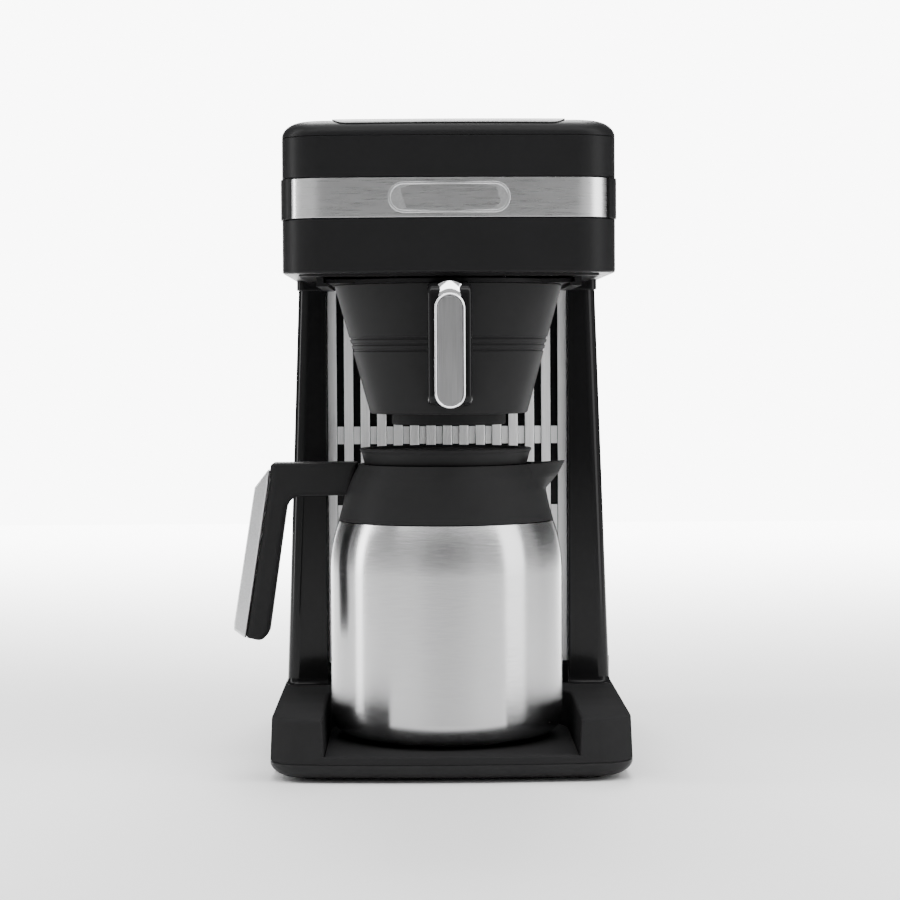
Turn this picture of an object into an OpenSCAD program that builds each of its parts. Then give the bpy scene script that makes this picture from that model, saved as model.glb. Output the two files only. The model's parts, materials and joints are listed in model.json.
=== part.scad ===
// Drip coffee maker: a base with a carafe bay, a rear tower that holds the hot water tank,
// and a head with a fill lid, over a slide-out brew funnel and a thermal carafe.
// Frame: X to the right, Y to the back, Z up. The origin is on the counter, at the middle of the base.

/* [Body] */
// Height from the counter to the top of the head
overall_h = 376.5; // [372:0.5:382]
// Width of the base at its seam
base_w = 208.5; // [206:0.5:210]
// Depth of the base and of the head
body_d = 344; // [342:1:350]
// Width of the head
head_w = 190.5; // [189:0.5:192]
// Height of the deck that the tower stands on
deck_h = 36.5; // [36:0.5:38]
// Wall thickness of the moulded shells
wall = 2.5; // [2:0.1:3]

/* [Carafe and funnel] */
// Largest radius of the steel flask
flask_r = 69.1; // [68:0.1:69.5]
// How far the carafe stands off the centre line
carafe_x = -2; // [-2.5:0.5:2]
// Distance of the funnel and carafe axis behind the front of the base
axis_back = 88; // [87:0.5:90]
// Radius of the brew funnel at its top
funnel_top_r = 67.5; // [66:0.1:68]
// Radius of the brew funnel at its foot
funnel_foot_r = 46.7; // [45:0.1:48]

/* [Grille] */
// Number of bars on the steel grille
bars = 15; // [11:2:17]
// Width of one bar
bar_w = 5.7; // [5:0.1:6]

/* [Hidden] */
$fn = 96;
front_y = -body_d / 2;
back_y = body_d / 2;
axis_y = front_y + axis_back;
gap = 0.3;

// Levels, from the counter up
pan_z = 1.2;
seam_z = 10.8;
bay_floor_z = 13.2;
plate_z = 15.3;
flask_z = 16.5;
tower_top_z = overall_h - 93.5;
head_z = overall_h - 87.3;
belt_z = overall_h - 56.7;
belt_top_z = overall_h - 33.3;
shoulder_z = overall_h - 10;

// Base
base_r = 22;
base_crown = 4;
pan_inset = 16;
pan_skin = 2.2;
bay_w = 145.4;
bay_back_y = -10;
bay_back_r = 45;
lip_d = 4.5;
foot_x = base_w / 2 - 23;
foot_y = body_d / 2 - 32;
foot_r = 8;

// Tower
tower_y = front_y + 168;
tower_back_y = back_y - 4;
tower_low_w = 101.4;
tower_high_w = 92.9;
tower_edge_r = 8;
slot_x = 75.2;
rear_x = 68;
grille_y = tower_y + 7;
grille_t = 1.2;
grille_z = 50;
grille_top_z = tower_top_z + 5;
bar_pitch = (2 * slot_x - 0.4 - bar_w) / (bars - 1);
slot_rows = [[148.6, 187], [198, tower_top_z + 3]];
bar_t = 1;
rear_screw_x = 75;
rear_cover_x = 81;
rear_cover_t = 2;
gland_x = 55;
gland_z = 50;
gland_bore_r = 3.6;
switch_y = 27;
switch_z = 44.3;
rocker_tilt = 9;
rocker_pin_r = 0.9;

// Head
head_r = 26;
head_crown = 3.5;
belt_out = 0.8;
band_x = 90.4;
badge_w = 69;
badge_h = 17.5;
under_step = 1.6;
lid_x = 66;
lid_back_y = 48;
lid_gap = 0.6;
hinge_y = 50.5;
hinge_z = overall_h - 2.6;
pin_r = 1.2;
basin_x = 78;
basin_front_y = -142;
basin_back_y = 60;
basin_z = 303;
valve_y = 30;
valve_lift = 6;

// Tank
tank_x = 68;
tank_front_y = 14;
tank_back_y = 150;
tank_z = 62;
tank_top_z = tower_top_z - 5;
spray_y = 60;

// Funnel
rim_z = head_z - 2.6;
rim_r = 71;
rim_t = 2.2;
cone_z = rim_z - 78.4;
outlet_z = cone_z - 6.6;
cone_wall = 2;
outlet_r = 33.8;
outlet_roof = 1.8;
drip_r = 6;
grip_front_y = front_y - 5;
grip_w = 25;
grip_z = rim_z - 74.6;
grip_top_z = rim_z - 1.6;
bezel_w = 17.6;
bezel_h = 65.4;
bezel_trim_h = 6.4;

// Carafe, above the flask's foot
seam_h = 128;
collar_h = 161.7;
lid_h = 171.2;
grip_y_half = 12;
handle_screw_z = [147, 157];
steel_t = 1;
bottom_r = 54.9;
flask_ring_r = 62.9;
liner_r = 62;
liner_z = 9;
liner_neck_z = 112;
neck_r = 50;
neck_z = 126;
neck_h = 14;
neck_slope = (liner_r - neck_r) / (neck_z - liner_neck_z);

black = [0.09, 0.09, 0.095];
gloss_black = [0.03, 0.03, 0.035];
steel = [0.72, 0.72, 0.73];
silver = [0.62, 0.63, 0.64];
rubber_grey = [0.16, 0.16, 0.16];
clear_grey = [0.8, 0.8, 0.78];
brass = [0.75, 0.6, 0.3];

// ---------------------------------------------------------------- outlines and shapes

function arc(cx, cy, r, a0, a1, n = 6) =
    [for (i = [0:n]) let (a = a0 + (a1 - a0) * i / n) [cx + r * cos(a), cy + r * sin(a)]];

// A rounded rectangle whose front side is crowned, counter-clockwise from the left side.
// inset draws it smaller all round.
function crowned_plan(w, rf, rb, crown, inset = 0) =
    let (hw = w / 2 - inset, r = max(rf - inset, 1), q = max(rb - inset, 1),
         y0 = front_y + inset, y1 = back_y - inset,
         turn = atan(2 * crown / (hw - r)), h = hw - r * (1 - sin(turn)),
         cy = y0 + crown + r * cos(turn))
    concat(
        arc(-hw + r, cy, r, 180, 270 - turn),
        [for (i = [1:7]) let (x = -h + 2 * h * i / 8) [x, y0 + crown * x * x / (h * h)]],
        arc(hw - r, cy, r, 270 + turn, 360),
        arc(hw - q, y1 - q, q, 0, 90),
        arc(-hw + q, y1 - q, q, 90, 180));

function base_plan(inset = 0) = crowned_plan(base_w, base_r, 18, base_crown, inset);
function head_plan(inset = 0) = crowned_plan(head_w, head_r, 20, head_crown, inset);
function at_z(ring, z) = [for (p = ring) [p.x, p.y, z]];

// A closed solid through rings of equal length, from the bottom up.
module loft(rings) {
    n = len(rings[0]);
    m = len(rings);
    sides = [for (k = [0:m - 2], i = [0:n - 1]) let (a = k * n + i, b = k * n + (i + 1) % n)
        each [[a, b + n, b], [a, a + n, b + n]]];
    polyhedron(
        points = [for (r = rings) each r],
        faces = concat([[for (i = [0:n - 1]) i]], [[for (i = [n - 1:-1:0]) (m - 1) * n + i]], sides));
}

module slab(outline, z0, z1) translate([0, 0, z0]) linear_extrude(z1 - z0) polygon(outline);

module box(lo, hi) translate(lo) cube(hi - lo);

module rounded_box_2d(w, h, r) {
    square([w, h - 2 * r], center = true);
    square([w - 2 * r, h], center = true);
    for (x = [-1, 1], y = [-1, 1]) translate([x * (w / 2 - r), y * (h / 2 - r)]) circle(r);
}

module stadium_2d(w, h) {
    square([w - h, h], center = true);
    for (x = [-1, 1]) translate([x * (w - h) / 2, 0]) circle(h / 2);
}

module along_y(x, z) translate([x, 0, z]) rotate([90, 0, 0]) children();

module tube(r_out, r_in, h) difference() {
    cylinder(r = r_out, h = h);
    translate([0, 0, -1]) cylinder(r = r_in, h = h + 2);
}

module pan_screw(r, l) {
    cylinder(r = r, h = l);
    cylinder(r = 2 * r, h = 1.6);
}

// ---------------------------------------------------------------- base

function pan_ring(a, inset, lift) =
    at_z(base_plan(inset + pan_inset * (1 - sin(a))), pan_z + lift + (seam_z - pan_z) * (1 - cos(a)));

module pan_shape(inset = 0, lift = 0) loft([for (a = [0:22.5:90]) pan_ring(a, inset, lift)]);

base_screw_spots = [for (x = [-60, 60], y = [-120, 0, 130]) [x, y]];

module base_pan() color(black) {
    difference() {
        pan_shape();
        pan_shape(2.4, pan_skin);
        for (p = base_screw_spots) translate([p.x, p.y, 0]) {
            cylinder(r = 4.4, h = 3.1);
            cylinder(r = 2.3, h = 20);
        }
        for (i = [-5:5]) box([-38, 60 + 7 * i, 0], [38, 62.6 + 7 * i, 8]);
    }
    for (p = base_screw_spots) translate([p.x, p.y, 3.1]) tube(5, 2.3, seam_z - 3.1);
}

module bay_2d(grow = 0) {
    w = bay_w / 2 + grow;
    r = bay_back_r + grow;
    y1 = bay_back_y + grow;
    translate([-w, front_y - 20]) square([2 * w, y1 - r - front_y + 20]);
    translate([-w + r, y1 - r - 1]) square([2 * (w - r), r + 1]);
    for (x = [-1, 1]) translate([x * (w - r), y1 - r]) intersection() {
        circle(r);
        translate([x > 0 ? 0 : -r, -0.5]) square([r, r + 0.5]);
    }
}

module base_deck() color(gloss_black) difference() {
    loft([
        at_z(base_plan(0), seam_z),
        at_z(base_plan(1.1), deck_h - 1.2),
        at_z(base_plan(2.3), deck_h)]);
    // the bay that the carafe stands in, with a raised lip at its front
    translate([0, 0, plate_z]) linear_extrude(40) bay_2d();
    translate([0, 0, bay_floor_z]) linear_extrude(40) intersection() {
        bay_2d();
        translate([-90, front_y + lip_d]) square([180, 200]);
    }
    // the hollow under the deck
    difference() {
        slab(base_plan(wall + 1.2), seam_z - 1, deck_h - wall);
        translate([0, 0, seam_z - 2]) linear_extrude(40) bay_2d(wall);
    }
    for (p = base_screw_spots) translate([p.x, p.y, seam_z - 1]) cylinder(r = 1.7, h = 6);
}

module base_screws() color(silver)
    for (p = base_screw_spots) translate([p.x, p.y, 1.5]) pan_screw(1.6, 10.5);

module drip_plate() color(gloss_black) {
    translate([0, 0, bay_floor_z]) linear_extrude(plate_z - bay_floor_z) intersection() {
        bay_2d(-0.4);
        translate([-90, front_y + lip_d + 0.4]) square([180, 200]);
    }
    // raised ring segments that keep the flask off the wet floor
    translate([0, axis_y, plate_z - 0.2]) for (r = [30, 44], k = [0:7])
        rotate([0, 0, 45 * k + 6]) rotate_extrude(angle = 33) translate([r, 0]) square([2.5, 1.3]);
}

module feet() color(rubber_grey)
    for (x = [-1, 1], y = [-1, 1]) translate([x * foot_x, y * foot_y, 0]) cylinder(r = foot_r, h = pan_z);

// ---------------------------------------------------------------- tower

function tower_half_w(z) =
    tower_low_w + (tower_high_w - tower_low_w) * (z - deck_h) / (tower_top_z - deck_h);

// One side of the tower in plan: front flange, rounded corner, side, rounded corner, rear flange.
function pillar_path(w, inset, z) =
    let (r = tower_edge_r, q = r - inset, y0 = tower_y + inset, y1 = tower_back_y - inset)
    at_z(concat(
        [[slot_x, y0]],
        arc(w - r, y0 + q, q, 270, 360),
        arc(w - r, y1 - q, q, 0, 90),
        [[rear_x, y1]]), z);

module pillar_channel() {
    z = [deck_h, tower_top_z];
    outer = [for (h = z) pillar_path(tower_half_w(h), 0, h)];
    inner = [for (h = z) pillar_path(tower_half_w(h), wall, h)];
    n = len(outer[0]);
    // four strips of n points: outer low, inner low, outer high, inner high
    strips = concat(outer[0], inner[0], outer[1], inner[1]);
    walls = [for (i = [0:n - 2]) each [
        [i, i + 1, n + i + 1], [i, n + i + 1, n + i],
        [2 * n + i, 3 * n + i + 1, 2 * n + i + 1], [2 * n + i, 3 * n + i, 3 * n + i + 1],
        [i, 2 * n + i + 1, i + 1], [i, 2 * n + i, 2 * n + i + 1],
        [n + i, n + i + 1, 3 * n + i + 1], [n + i, 3 * n + i + 1, 3 * n + i]]];
    ends = [
        [0, n, 3 * n], [0, 3 * n, 2 * n],
        [n - 1, 3 * n - 1, 4 * n - 1], [n - 1, 4 * n - 1, 2 * n - 1]];
    polyhedron(points = strips, faces = concat(walls, ends));
}

module pillar() {
    difference() {
        union() {
            pillar_channel();
            // the return beside the grille
            box([slot_x, tower_y + 1, deck_h], [slot_x + wall, grille_y + 3, tower_top_z]);
        }
        rear_screw_holes(1.7);
    }
}

module switch_cutout()
    box([tower_low_w - 12, switch_y - 9.2, switch_z - 6.4],
        [tower_low_w + 5, switch_y + 9.2, switch_z + 6.4]);

module pillar_right() color(gloss_black) difference() {
    pillar();
    switch_cutout();
}

module pillar_left() color(gloss_black) mirror([1, 0, 0]) pillar();

module tower_front() color(gloss_black) {
    box([-slot_x, grille_y + 3, deck_h], [slot_x, grille_y + 5, grille_top_z]);
    box([-slot_x, grille_y - 1, deck_h], [slot_x, grille_y + 3, grille_z - 0.2]);
}

function bar_x(i) = (i - (bars - 1) / 2) * bar_pitch;

// A steel sheet with two rows of slots, and a bar standing proud of it along each side of every slot.
module decor_grille() color(steel) {
    difference() {
        box([-slot_x + 0.2, grille_y + bar_t, grille_z],
            [slot_x - 0.2, grille_y + bar_t + grille_t, grille_top_z]);
        for (i = [0:bars - 2], row = slot_rows) {
            x0 = bar_x(i) + bar_w / 2;
            x1 = bar_x(i + 1) - bar_w / 2;
            box([x0, grille_y - 1, row[0]], [x1, grille_y + 5, row[1]]);
        }
    }
    for (i = [0:bars - 1]) translate([bar_x(i) - bar_w / 2, grille_y, grille_z])
        cube([bar_w, bar_t, grille_top_z - grille_z]);
}

rear_screw_spots = [for (x = [-rear_screw_x, rear_screw_x], z = [deck_h + 10, 160, tower_top_z - 10]) [x, z]];
cover_y = tower_back_y + rear_cover_t;

module rear_screw_holes(r) for (p = rear_screw_spots) along_y(p.x, p[1])
    translate([0, 0, -cover_y - 1]) cylinder(r = r, h = rear_cover_t + wall + 3);

module rear_cover() color(black) difference() {
    box([-rear_cover_x, tower_back_y, deck_h], [rear_cover_x, cover_y, tower_top_z]);
    for (k = [0:8], x = [-1, 1]) along_y(x * 27, 200 + 8 * k) translate([0, 0, -cover_y - 1])
        linear_extrude(wall + 2) stadium_2d(44, 3.4);
    rear_screw_holes(1.8);
    along_y(gland_x, gland_z) translate([0, 0, -cover_y - 1]) cylinder(r = 7.6, h = wall + 2);
}

module rear_screws() color(silver) for (p = rear_screw_spots) along_y(p.x, p[1]) {
    translate([0, 0, -cover_y]) cylinder(r = 1.6, h = 9);
    translate([0, 0, -cover_y - 1.4]) cylinder(r = 3.3, h = 1.4);
}

module cord_gland() color(rubber_grey) along_y(gland_x, gland_z) difference() {
    union() {
        translate([0, 0, -cover_y]) cylinder(r = 7.5, h = 9);
        translate([0, 0, -cover_y - 1.8]) cylinder(r = 11, h = 1.8);
    }
    translate([0, 0, -cover_y - 4]) cylinder(r = gland_bore_r, h = 20);
}

module switch_bezel() color(black) difference() {
    union() {
        box([tower_low_w - 10, switch_y - 9, switch_z - 6.2],
            [tower_low_w, switch_y + 9, switch_z + 6.2]);
        box([tower_low_w, switch_y - 10, switch_z - 7],
            [tower_low_w + 0.6, switch_y + 10, switch_z + 7]);
    }
    box([tower_low_w - 8, switch_y - 7.3, switch_z - 4.8],
        [tower_low_w + 5, switch_y + 7.3, switch_z + 4.8]);
    rocker_pins(rocker_pin_r + 0.05, 8.4);
}

// The two pins that the rocker turns on, or the holes that they sit in, out to half from the middle.
module rocker_pins(r, half) translate([tower_low_w - 1, switch_y, switch_z])
    for (s = [-1, 1]) translate([0, s * (half + 6.8) / 2, 0])
        rotate([90, 0, 0]) cylinder(r = r, h = half - 6.8, center = true);

module power_rocker() color(black) {
    translate([tower_low_w - 1, switch_y, switch_z])
        rotate([0, rocker_tilt, 0]) rotate([90, 0, 0]) translate([0, 0, -7]) linear_extrude(14)
            polygon([[-3, -2.5], [0.7, -4.4], [0.3, 0], [0.7, 4.4], [-3, 2.5]]);
    rocker_pins(rocker_pin_r, 8.2);
}

// ---------------------------------------------------------------- tank and water path

module tank_2d(grow = 0) translate([0, (tank_front_y + tank_back_y) / 2])
    rounded_box_2d(2 * (tank_x + grow), tank_back_y - tank_front_y + 2 * grow, 24 + grow);

module tank() color(steel) {
    difference() {
        translate([0, 0, tank_z]) linear_extrude(tank_top_z - tank_z) tank_2d();
        translate([0, 0, tank_z + 1.2]) linear_extrude(tank_top_z) tank_2d(-1.2);
        translate([-30, tank_front_y + 68, tank_z - 1]) cylinder(r = 4.2, h = 4);
        translate([30, tank_front_y + 68, tank_z - 1]) cylinder(r = 4.2, h = 4);
    }
    difference() {
        translate([0, 0, tank_top_z - 1.2]) linear_extrude(1.2) tank_2d(3);
        translate([0, 0, tank_top_z - 2]) linear_extrude(3) tank_2d(-0.6);
    }
}

module lid_ports() {
    translate([0, valve_y, 0]) cylinder(r = 7.3, h = 400);
    translate([0, spray_y, 0]) cylinder(r = 4.4, h = 400);
    translate([40, 100, 0]) cylinder(r = 3.4, h = 400);
}

module tank_gasket() color(rubber_grey) difference() {
    translate([0, 0, tank_top_z]) linear_extrude(1.5) tank_2d(3);
    translate([0, 0, tank_top_z - 1]) linear_extrude(4) tank_2d(-1);
}

module tank_lid() color(steel) difference() {
    translate([0, 0, tank_top_z + 1.5]) linear_extrude(1.5) tank_2d(3);
    lid_ports();
}

module tank_bracket() color(steel) difference() {
    translate([0, 0, deck_h]) linear_extrude(tank_z - deck_h) tank_2d(-6);
    translate([0, 0, deck_h + 2]) linear_extrude(tank_z - deck_h - 4) tank_2d(-8);
    translate([0, 82, deck_h - 1]) cylinder(r = 44, h = 40);
    box([-100, 40, deck_h + 2], [100, 124, tank_z - 2]);
}

// A U of tube through the tank floor, with a round bend at its top.
module heating_element() color(brass) translate([0, tank_front_y + 68, 0]) {
    for (x = [-30, 30]) translate([x, 0, tank_z - 12]) cylinder(r = 4, h = 82);
    translate([0, 0, tank_z + 70]) rotate([90, 0, 0])
        rotate_extrude(angle = 180) translate([30, 0]) circle(4);
}

module control_thermostat() color(silver) translate([40, 100, 0]) {
    translate([0, 0, tank_top_z - 80]) cylinder(r = 3, h = 84);
    translate([0, 0, tank_top_z + 3]) cylinder(r = 9, h = 3.5);
}

module limit_thermostat() color(black) translate([0, tank_back_y, 190]) rotate([-90, 0, 0]) {
    cylinder(r = 9, h = 5);
    translate([0, 0, 5]) cylinder(r = 5, h = 3);
}

module terminal_block() color(clear_grey) difference() {
    box([20, 147, deck_h], [44, 161, deck_h + 14]);
    for (x = [26, 38]) translate([x, 154, deck_h + 6]) cylinder(r = 2, h = 12);
}

module fill_tube() color(clear_grey) translate([0, valve_y, 0]) difference() {
    union() {
        translate([0, 0, tank_z + 12]) cylinder(r = 7, h = tower_top_z + 3 - tank_z - 12);
        translate([0, 0, tower_top_z + 3]) cylinder(r = 13, h = basin_z - tower_top_z - 3);
    }
    translate([0, 0, tank_z]) cylinder(r = 5.5, h = 300);
    translate([0, 0, tower_top_z + 5]) cylinder(r = 11, h = 30);
}

// From the tank lid up, forward under the basin and down into the spray head.
tube_r = 4;
tube_bore = 2.6;
bend_r = 5;
tube_z = head_z + 9.2;
tube_x = 26;

module bend() rotate_extrude(angle = 90) translate([bend_r, 0]) difference() {
    circle(tube_r);
    circle(tube_bore);
}

module spray_tube() color(clear_grey) {
    translate([0, spray_y, tank_top_z - 4]) tube(tube_r, tube_bore, tube_z - bend_r - tank_top_z + 4);
    translate([bend_r, spray_y, tube_z - bend_r]) rotate([90, 0, 180]) bend();
    translate([bend_r, spray_y, tube_z]) rotate([0, 90, 0]) tube(tube_r, tube_bore, tube_x - 2 * bend_r);
    translate([tube_x - bend_r, spray_y - bend_r, tube_z]) bend();
    translate([tube_x, spray_y - bend_r, tube_z]) rotate([90, 0, 0])
        tube(tube_r, tube_bore, spray_y - axis_y - 2 * bend_r);
    translate([tube_x - bend_r, axis_y + bend_r, tube_z]) rotate([0, 0, -90]) bend();
    translate([bend_r, axis_y, tube_z]) rotate([0, 90, 0]) tube(tube_r, tube_bore, tube_x - 2 * bend_r);
    translate([bend_r, axis_y, tube_z - bend_r]) rotate([90, 0, 180]) bend();
    translate([0, axis_y, head_z + 1.2]) tube(tube_r, tube_bore, tube_z - bend_r - head_z - 1.2);
}

// ---------------------------------------------------------------- head

module neck_collar() color(black) difference() {
    box([-93.6, tower_y - 2, tower_top_z], [93.6, cover_y, head_z]);
    box([-90, tower_y + 1, tower_top_z - 1], [90, tower_back_y - wall, head_z + 1]);
}

module head_ring(z0, z1) difference() {
    slab(head_plan(), z0, z1);
    slab(head_plan(wall), z0 - 1, z1 + 1);
}

module head_lower() color(black) {
    head_ring(head_z, belt_z);
    difference() {
        union() {
            slab(head_plan(wall), head_z, head_z + wall);
            intersection() {
                slab(head_plan(9), head_z - under_step, head_z);
                box([-100, front_y, head_z - 5], [100, tower_y - 4, head_z + 1]);
            }
        }
        translate([0, axis_y, head_z - 5]) cylinder(r = 34, h = 20);
        for (k = [0:2]) translate([0, axis_y, head_z]) rotate([0, 0, 120 * k + 90])
            translate([38, 0, 0]) cylinder(r = 1.6, h = 8);
        box([-70, grille_y + 6, head_z - 5], [70, 156, head_z + 10]);
    }
}

module belt() color(black) difference() {
    slab(head_plan(-belt_out), belt_z, belt_top_z);
    slab(head_plan(wall + 1), belt_z - 1, belt_top_z + 1);
    // the seat of the steel band
    difference() {
        box([-band_x, front_y - 5, belt_z + 0.4], [band_x, front_y + 40, belt_top_z - 0.4]);
        slab(head_plan(0.8), belt_z, belt_top_z);
    }
}

module band_shell(inner, outer, z0, z1) intersection() {
    difference() {
        slab(head_plan(-outer), z0, z1);
        slab(head_plan(-inner), z0 - 1, z1 + 1);
    }
    box([-band_x + 0.2, front_y - 5, z0 - 1], [band_x - 0.2, front_y + 40, z1 + 1]);
}

module front_band() color(steel) band_shell(-0.8, 0.2, belt_z + 0.6, belt_top_z - 0.6);

module badge() color(silver) intersection() {
    band_shell(0.2, 0.9, belt_z, belt_top_z);
    translate([0, front_y + 20, (belt_z + belt_top_z) / 2]) rotate([90, 0, 0])
        linear_extrude(40) stadium_2d(badge_w, badge_h);
}

module head_upper() color(black) head_ring(belt_top_z, shoulder_z);

// The domed top of the head: a rounded shoulder that runs into a flat.
function shoulder_ring(k, inset, drop) =
    let (a = 15 * k, z = shoulder_z + (overall_h - shoulder_z) * sin(a) - drop)
    at_z(head_plan(inset + 13 * (1 - cos(a))), z);

module top_skin() difference() {
    loft([for (k = [0:6]) shoulder_ring(k, 0, 0)]);
    loft(concat([at_z(head_plan(wall), shoulder_z - 4)], [for (k = [1:6]) shoulder_ring(k, wall, wall)]));
}

module lid_2d(grow = 0) {
    r = 8 + grow;
    x = lid_x + grow;
    y0 = front_y + 4.4 - grow;
    intersection() {
        polygon(head_plan(1.2 - grow));
        union() {
            translate([-x, y0 + r]) square([2 * x, lid_back_y + grow - y0 - r]);
            translate([-x + r, y0 - 8]) square([2 * (x - r), 20]);
            for (s = [-1, 1]) translate([s * (x - r), y0 + r]) circle(r);
        }
    }
}

module lid_cut(grow) translate([0, 0, shoulder_z + 1]) linear_extrude(20) lid_2d(grow);

hinge_barrels = [-49, -14, 14, 49];
hinge_lugs = [-60, 0, 60];
barrel_len = 12;
barrel_r = 2.4;

module hinge_slot()
    box([-lid_x - 1, lid_back_y - 1, shoulder_z - 4], [lid_x + 1, hinge_y + barrel_r + 1, overall_h + 1]);

module top_frame() color(black) {
    difference() {
        top_skin();
        lid_cut(lid_gap);
        hinge_slot();
    }
    // the hinge lugs stand on a rail behind the lid
    difference() {
        union() {
            box([-68, hinge_y + barrel_r + 1, overall_h - 9], [68, hinge_y + barrel_r + 5, overall_h - wall]);
            for (x = hinge_lugs) {
                box([x - 3, hinge_y - 1.8, overall_h - 9], [x + 3, hinge_y + barrel_r + 2, hinge_z - 1.8]);
                translate([x - 3, hinge_y, hinge_z]) rotate([0, 90, 0]) cylinder(r = barrel_r, h = 6);
            }
        }
        translate([-70, hinge_y, hinge_z]) rotate([0, 90, 0]) cylinder(r = pin_r + 0.05, h = 140);
    }
}

module hinge_pin() color(steel) translate([-62.5, hinge_y, hinge_z])
    rotate([0, 90, 0]) cylinder(r = pin_r, h = 125);

module fill_lid() color(black) {
    intersection() {
        top_skin();
        lid_cut(0);
    }
    // pad that presses the valve plunger
    translate([0, valve_y, overall_h - wall - 2.4]) cylinder(r = 5, h = 3);
    difference() {
        for (x = hinge_barrels) {
            translate([x - barrel_len / 2, hinge_y, hinge_z])
                rotate([0, 90, 0]) cylinder(r = barrel_r, h = barrel_len);
            box([x - barrel_len / 2, lid_back_y - 2, overall_h - wall],
                [x + barrel_len / 2, hinge_y, hinge_z + 2.2]);
        }
        translate([-70, hinge_y, hinge_z]) rotate([0, 90, 0]) cylinder(r = pin_r + 0.05, h = 140);
    }
}

module fill_basin() color(black) {
    x = basin_x;
    difference() {
        union() {
            box([-x, basin_front_y, basin_z], [x, basin_back_y, shoulder_z - 1]);
            intersection() {
                slab(head_plan(wall), shoulder_z - 3, shoulder_z - 1);
                box([-100, front_y, 0], [100, basin_back_y + 4, 400]);
            }
        }
        box([-x + 2, basin_front_y + 2, basin_z + 2], [x - 2, basin_back_y - 2, shoulder_z + 1]);
        translate([0, valve_y, basin_z - 1]) cylinder(r = 9, h = 4);
    }
}

module valve_seat() color(rubber_grey) translate([0, valve_y, basin_z - 2]) difference() {
    union() {
        cylinder(r = 8.8, h = 4);
        translate([0, 0, 4]) cylinder(r = 11, h = 1.5);
    }
    translate([0, 0, -1]) cylinder(r = 6.5, h = 9);
}

plunger_top_z = overall_h - wall - 2.5;
disc_top_z = basin_z - 2.1 - valve_lift;
spring_low_z = basin_z + 42;
spring_high_z = plunger_top_z - 3;

// A three-legged stand over the seat that guides the stem and carries the spring.
module valve_guide() color(black) translate([0, valve_y, 0]) {
    difference() {
        translate([0, 0, spring_low_z - 2]) cylinder(r = 12, h = 2);
        translate([0, 0, spring_low_z - 3]) cylinder(r = 3.05, h = 4);
    }
    for (k = [0:2]) rotate([0, 0, 120 * k + 30]) difference() {
        translate([7, -2, basin_z + 2]) cube([6.8, 4, spring_low_z - 1 - basin_z - 2]);
        translate([0, 0, basin_z]) cylinder(r = 11.3, h = 6);
    }
}

module valve_plunger() color(silver) translate([0, valve_y, 0]) {
    translate([0, 0, disc_top_z - 3]) cylinder(r = 9, h = 3);
    translate([0, 0, disc_top_z]) cylinder(r = 3, h = plunger_top_z - disc_top_z - 3);
    translate([0, 0, plunger_top_z - 3]) cylinder(r = 7, h = 3);
}

// Closed round wire swept along a helix.
module valve_spring() color(steel) {
    turns = 5;
    steps = 12;
    coil_r = 5.2;
    wire_r = 0.5;
    n = turns * steps;
    rise = spring_high_z - spring_low_z - 2 * wire_r;
    rings = [for (i = [0:n]) let (a = 360 * i / steps, z = spring_low_z + wire_r + rise * i / n)
        [for (k = [0:5]) let (b = 60 * k) [
            (coil_r + wire_r * cos(b)) * cos(a),
            valve_y + (coil_r + wire_r * cos(b)) * sin(a),
            z + wire_r * sin(b)]]];
    swept(rings);
}

// A closed tube through equal rings that need not be level.
module swept(rings) {
    n = len(rings[0]);
    m = len(rings);
    sides = [for (k = [0:m - 2], i = [0:n - 1]) let (a = k * n + i, b = k * n + (i + 1) % n)
        each [[a, b, b + n], [a, b + n, a + n]]];
    polyhedron(
        points = [for (r = rings) each r],
        faces = concat([[for (i = [n - 1:-1:0]) i]], [[for (i = [0:n - 1]) (m - 1) * n + i]], sides));
}

module spray_head() color(black) translate([0, axis_y, 0]) difference() {
    union() {
        translate([0, 0, head_z - 1.3]) cylinder(r = 33.7, h = 4);
        translate([0, 0, head_z + wall]) cylinder(r = 42, h = 1.5);
    }
    translate([0, 0, head_z + 0.2]) cylinder(r = 31, h = 2.5);
    translate([0, 0, head_z + 1]) cylinder(r = tube_r + 0.05, h = 8);
    for (k = [0:11]) rotate([0, 0, 30 * k]) translate([25, 0, head_z - 2]) cylinder(r = 1.2, h = 3);
    for (k = [0:5]) rotate([0, 0, 60 * k]) translate([14.5, 0, head_z - 2]) cylinder(r = 1.2, h = 3);
    for (k = [0:2]) rotate([0, 0, 120 * k + 90]) translate([38, 0, head_z]) cylinder(r = 1.7, h = 8);
}

module spray_screws() color(steel) translate([0, axis_y, 0])
    for (k = [0:2]) rotate([0, 0, 120 * k + 90]) translate([38, 0, 0]) {
        translate([0, 0, head_z + 0.5]) cylinder(r = 1.5, h = 3.6);
        translate([0, 0, head_z + wall + 1.5]) cylinder(r = 3, h = 1.6);
    }

// Two angle rails under the head that the funnel's rim slides on.
module funnel_rails() color(black) for (s = [0, 1]) mirror([s, 0, 0]) {
    box([rim_r + 1, axis_y - 60, rim_z - rim_t - 2], [rim_r + 5, axis_y + 68, head_z - under_step]);
    box([rim_r - 1.4, axis_y - 60, rim_z - rim_t - 2], [rim_r + 1, axis_y + 68, rim_z - rim_t - 0.1]);
}

// ---------------------------------------------------------------- brew funnel

module at_funnel() translate([0, axis_y, 0]) children();

module cone(r0, r1, z0, z1) translate([0, 0, z0]) cylinder(r1 = r0, r2 = r1, h = z1 - z0);

function cone_r(z) =
    funnel_foot_r + (funnel_top_r - funnel_foot_r) * (z - cone_z) / (rim_z - rim_t - cone_z);

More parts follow.
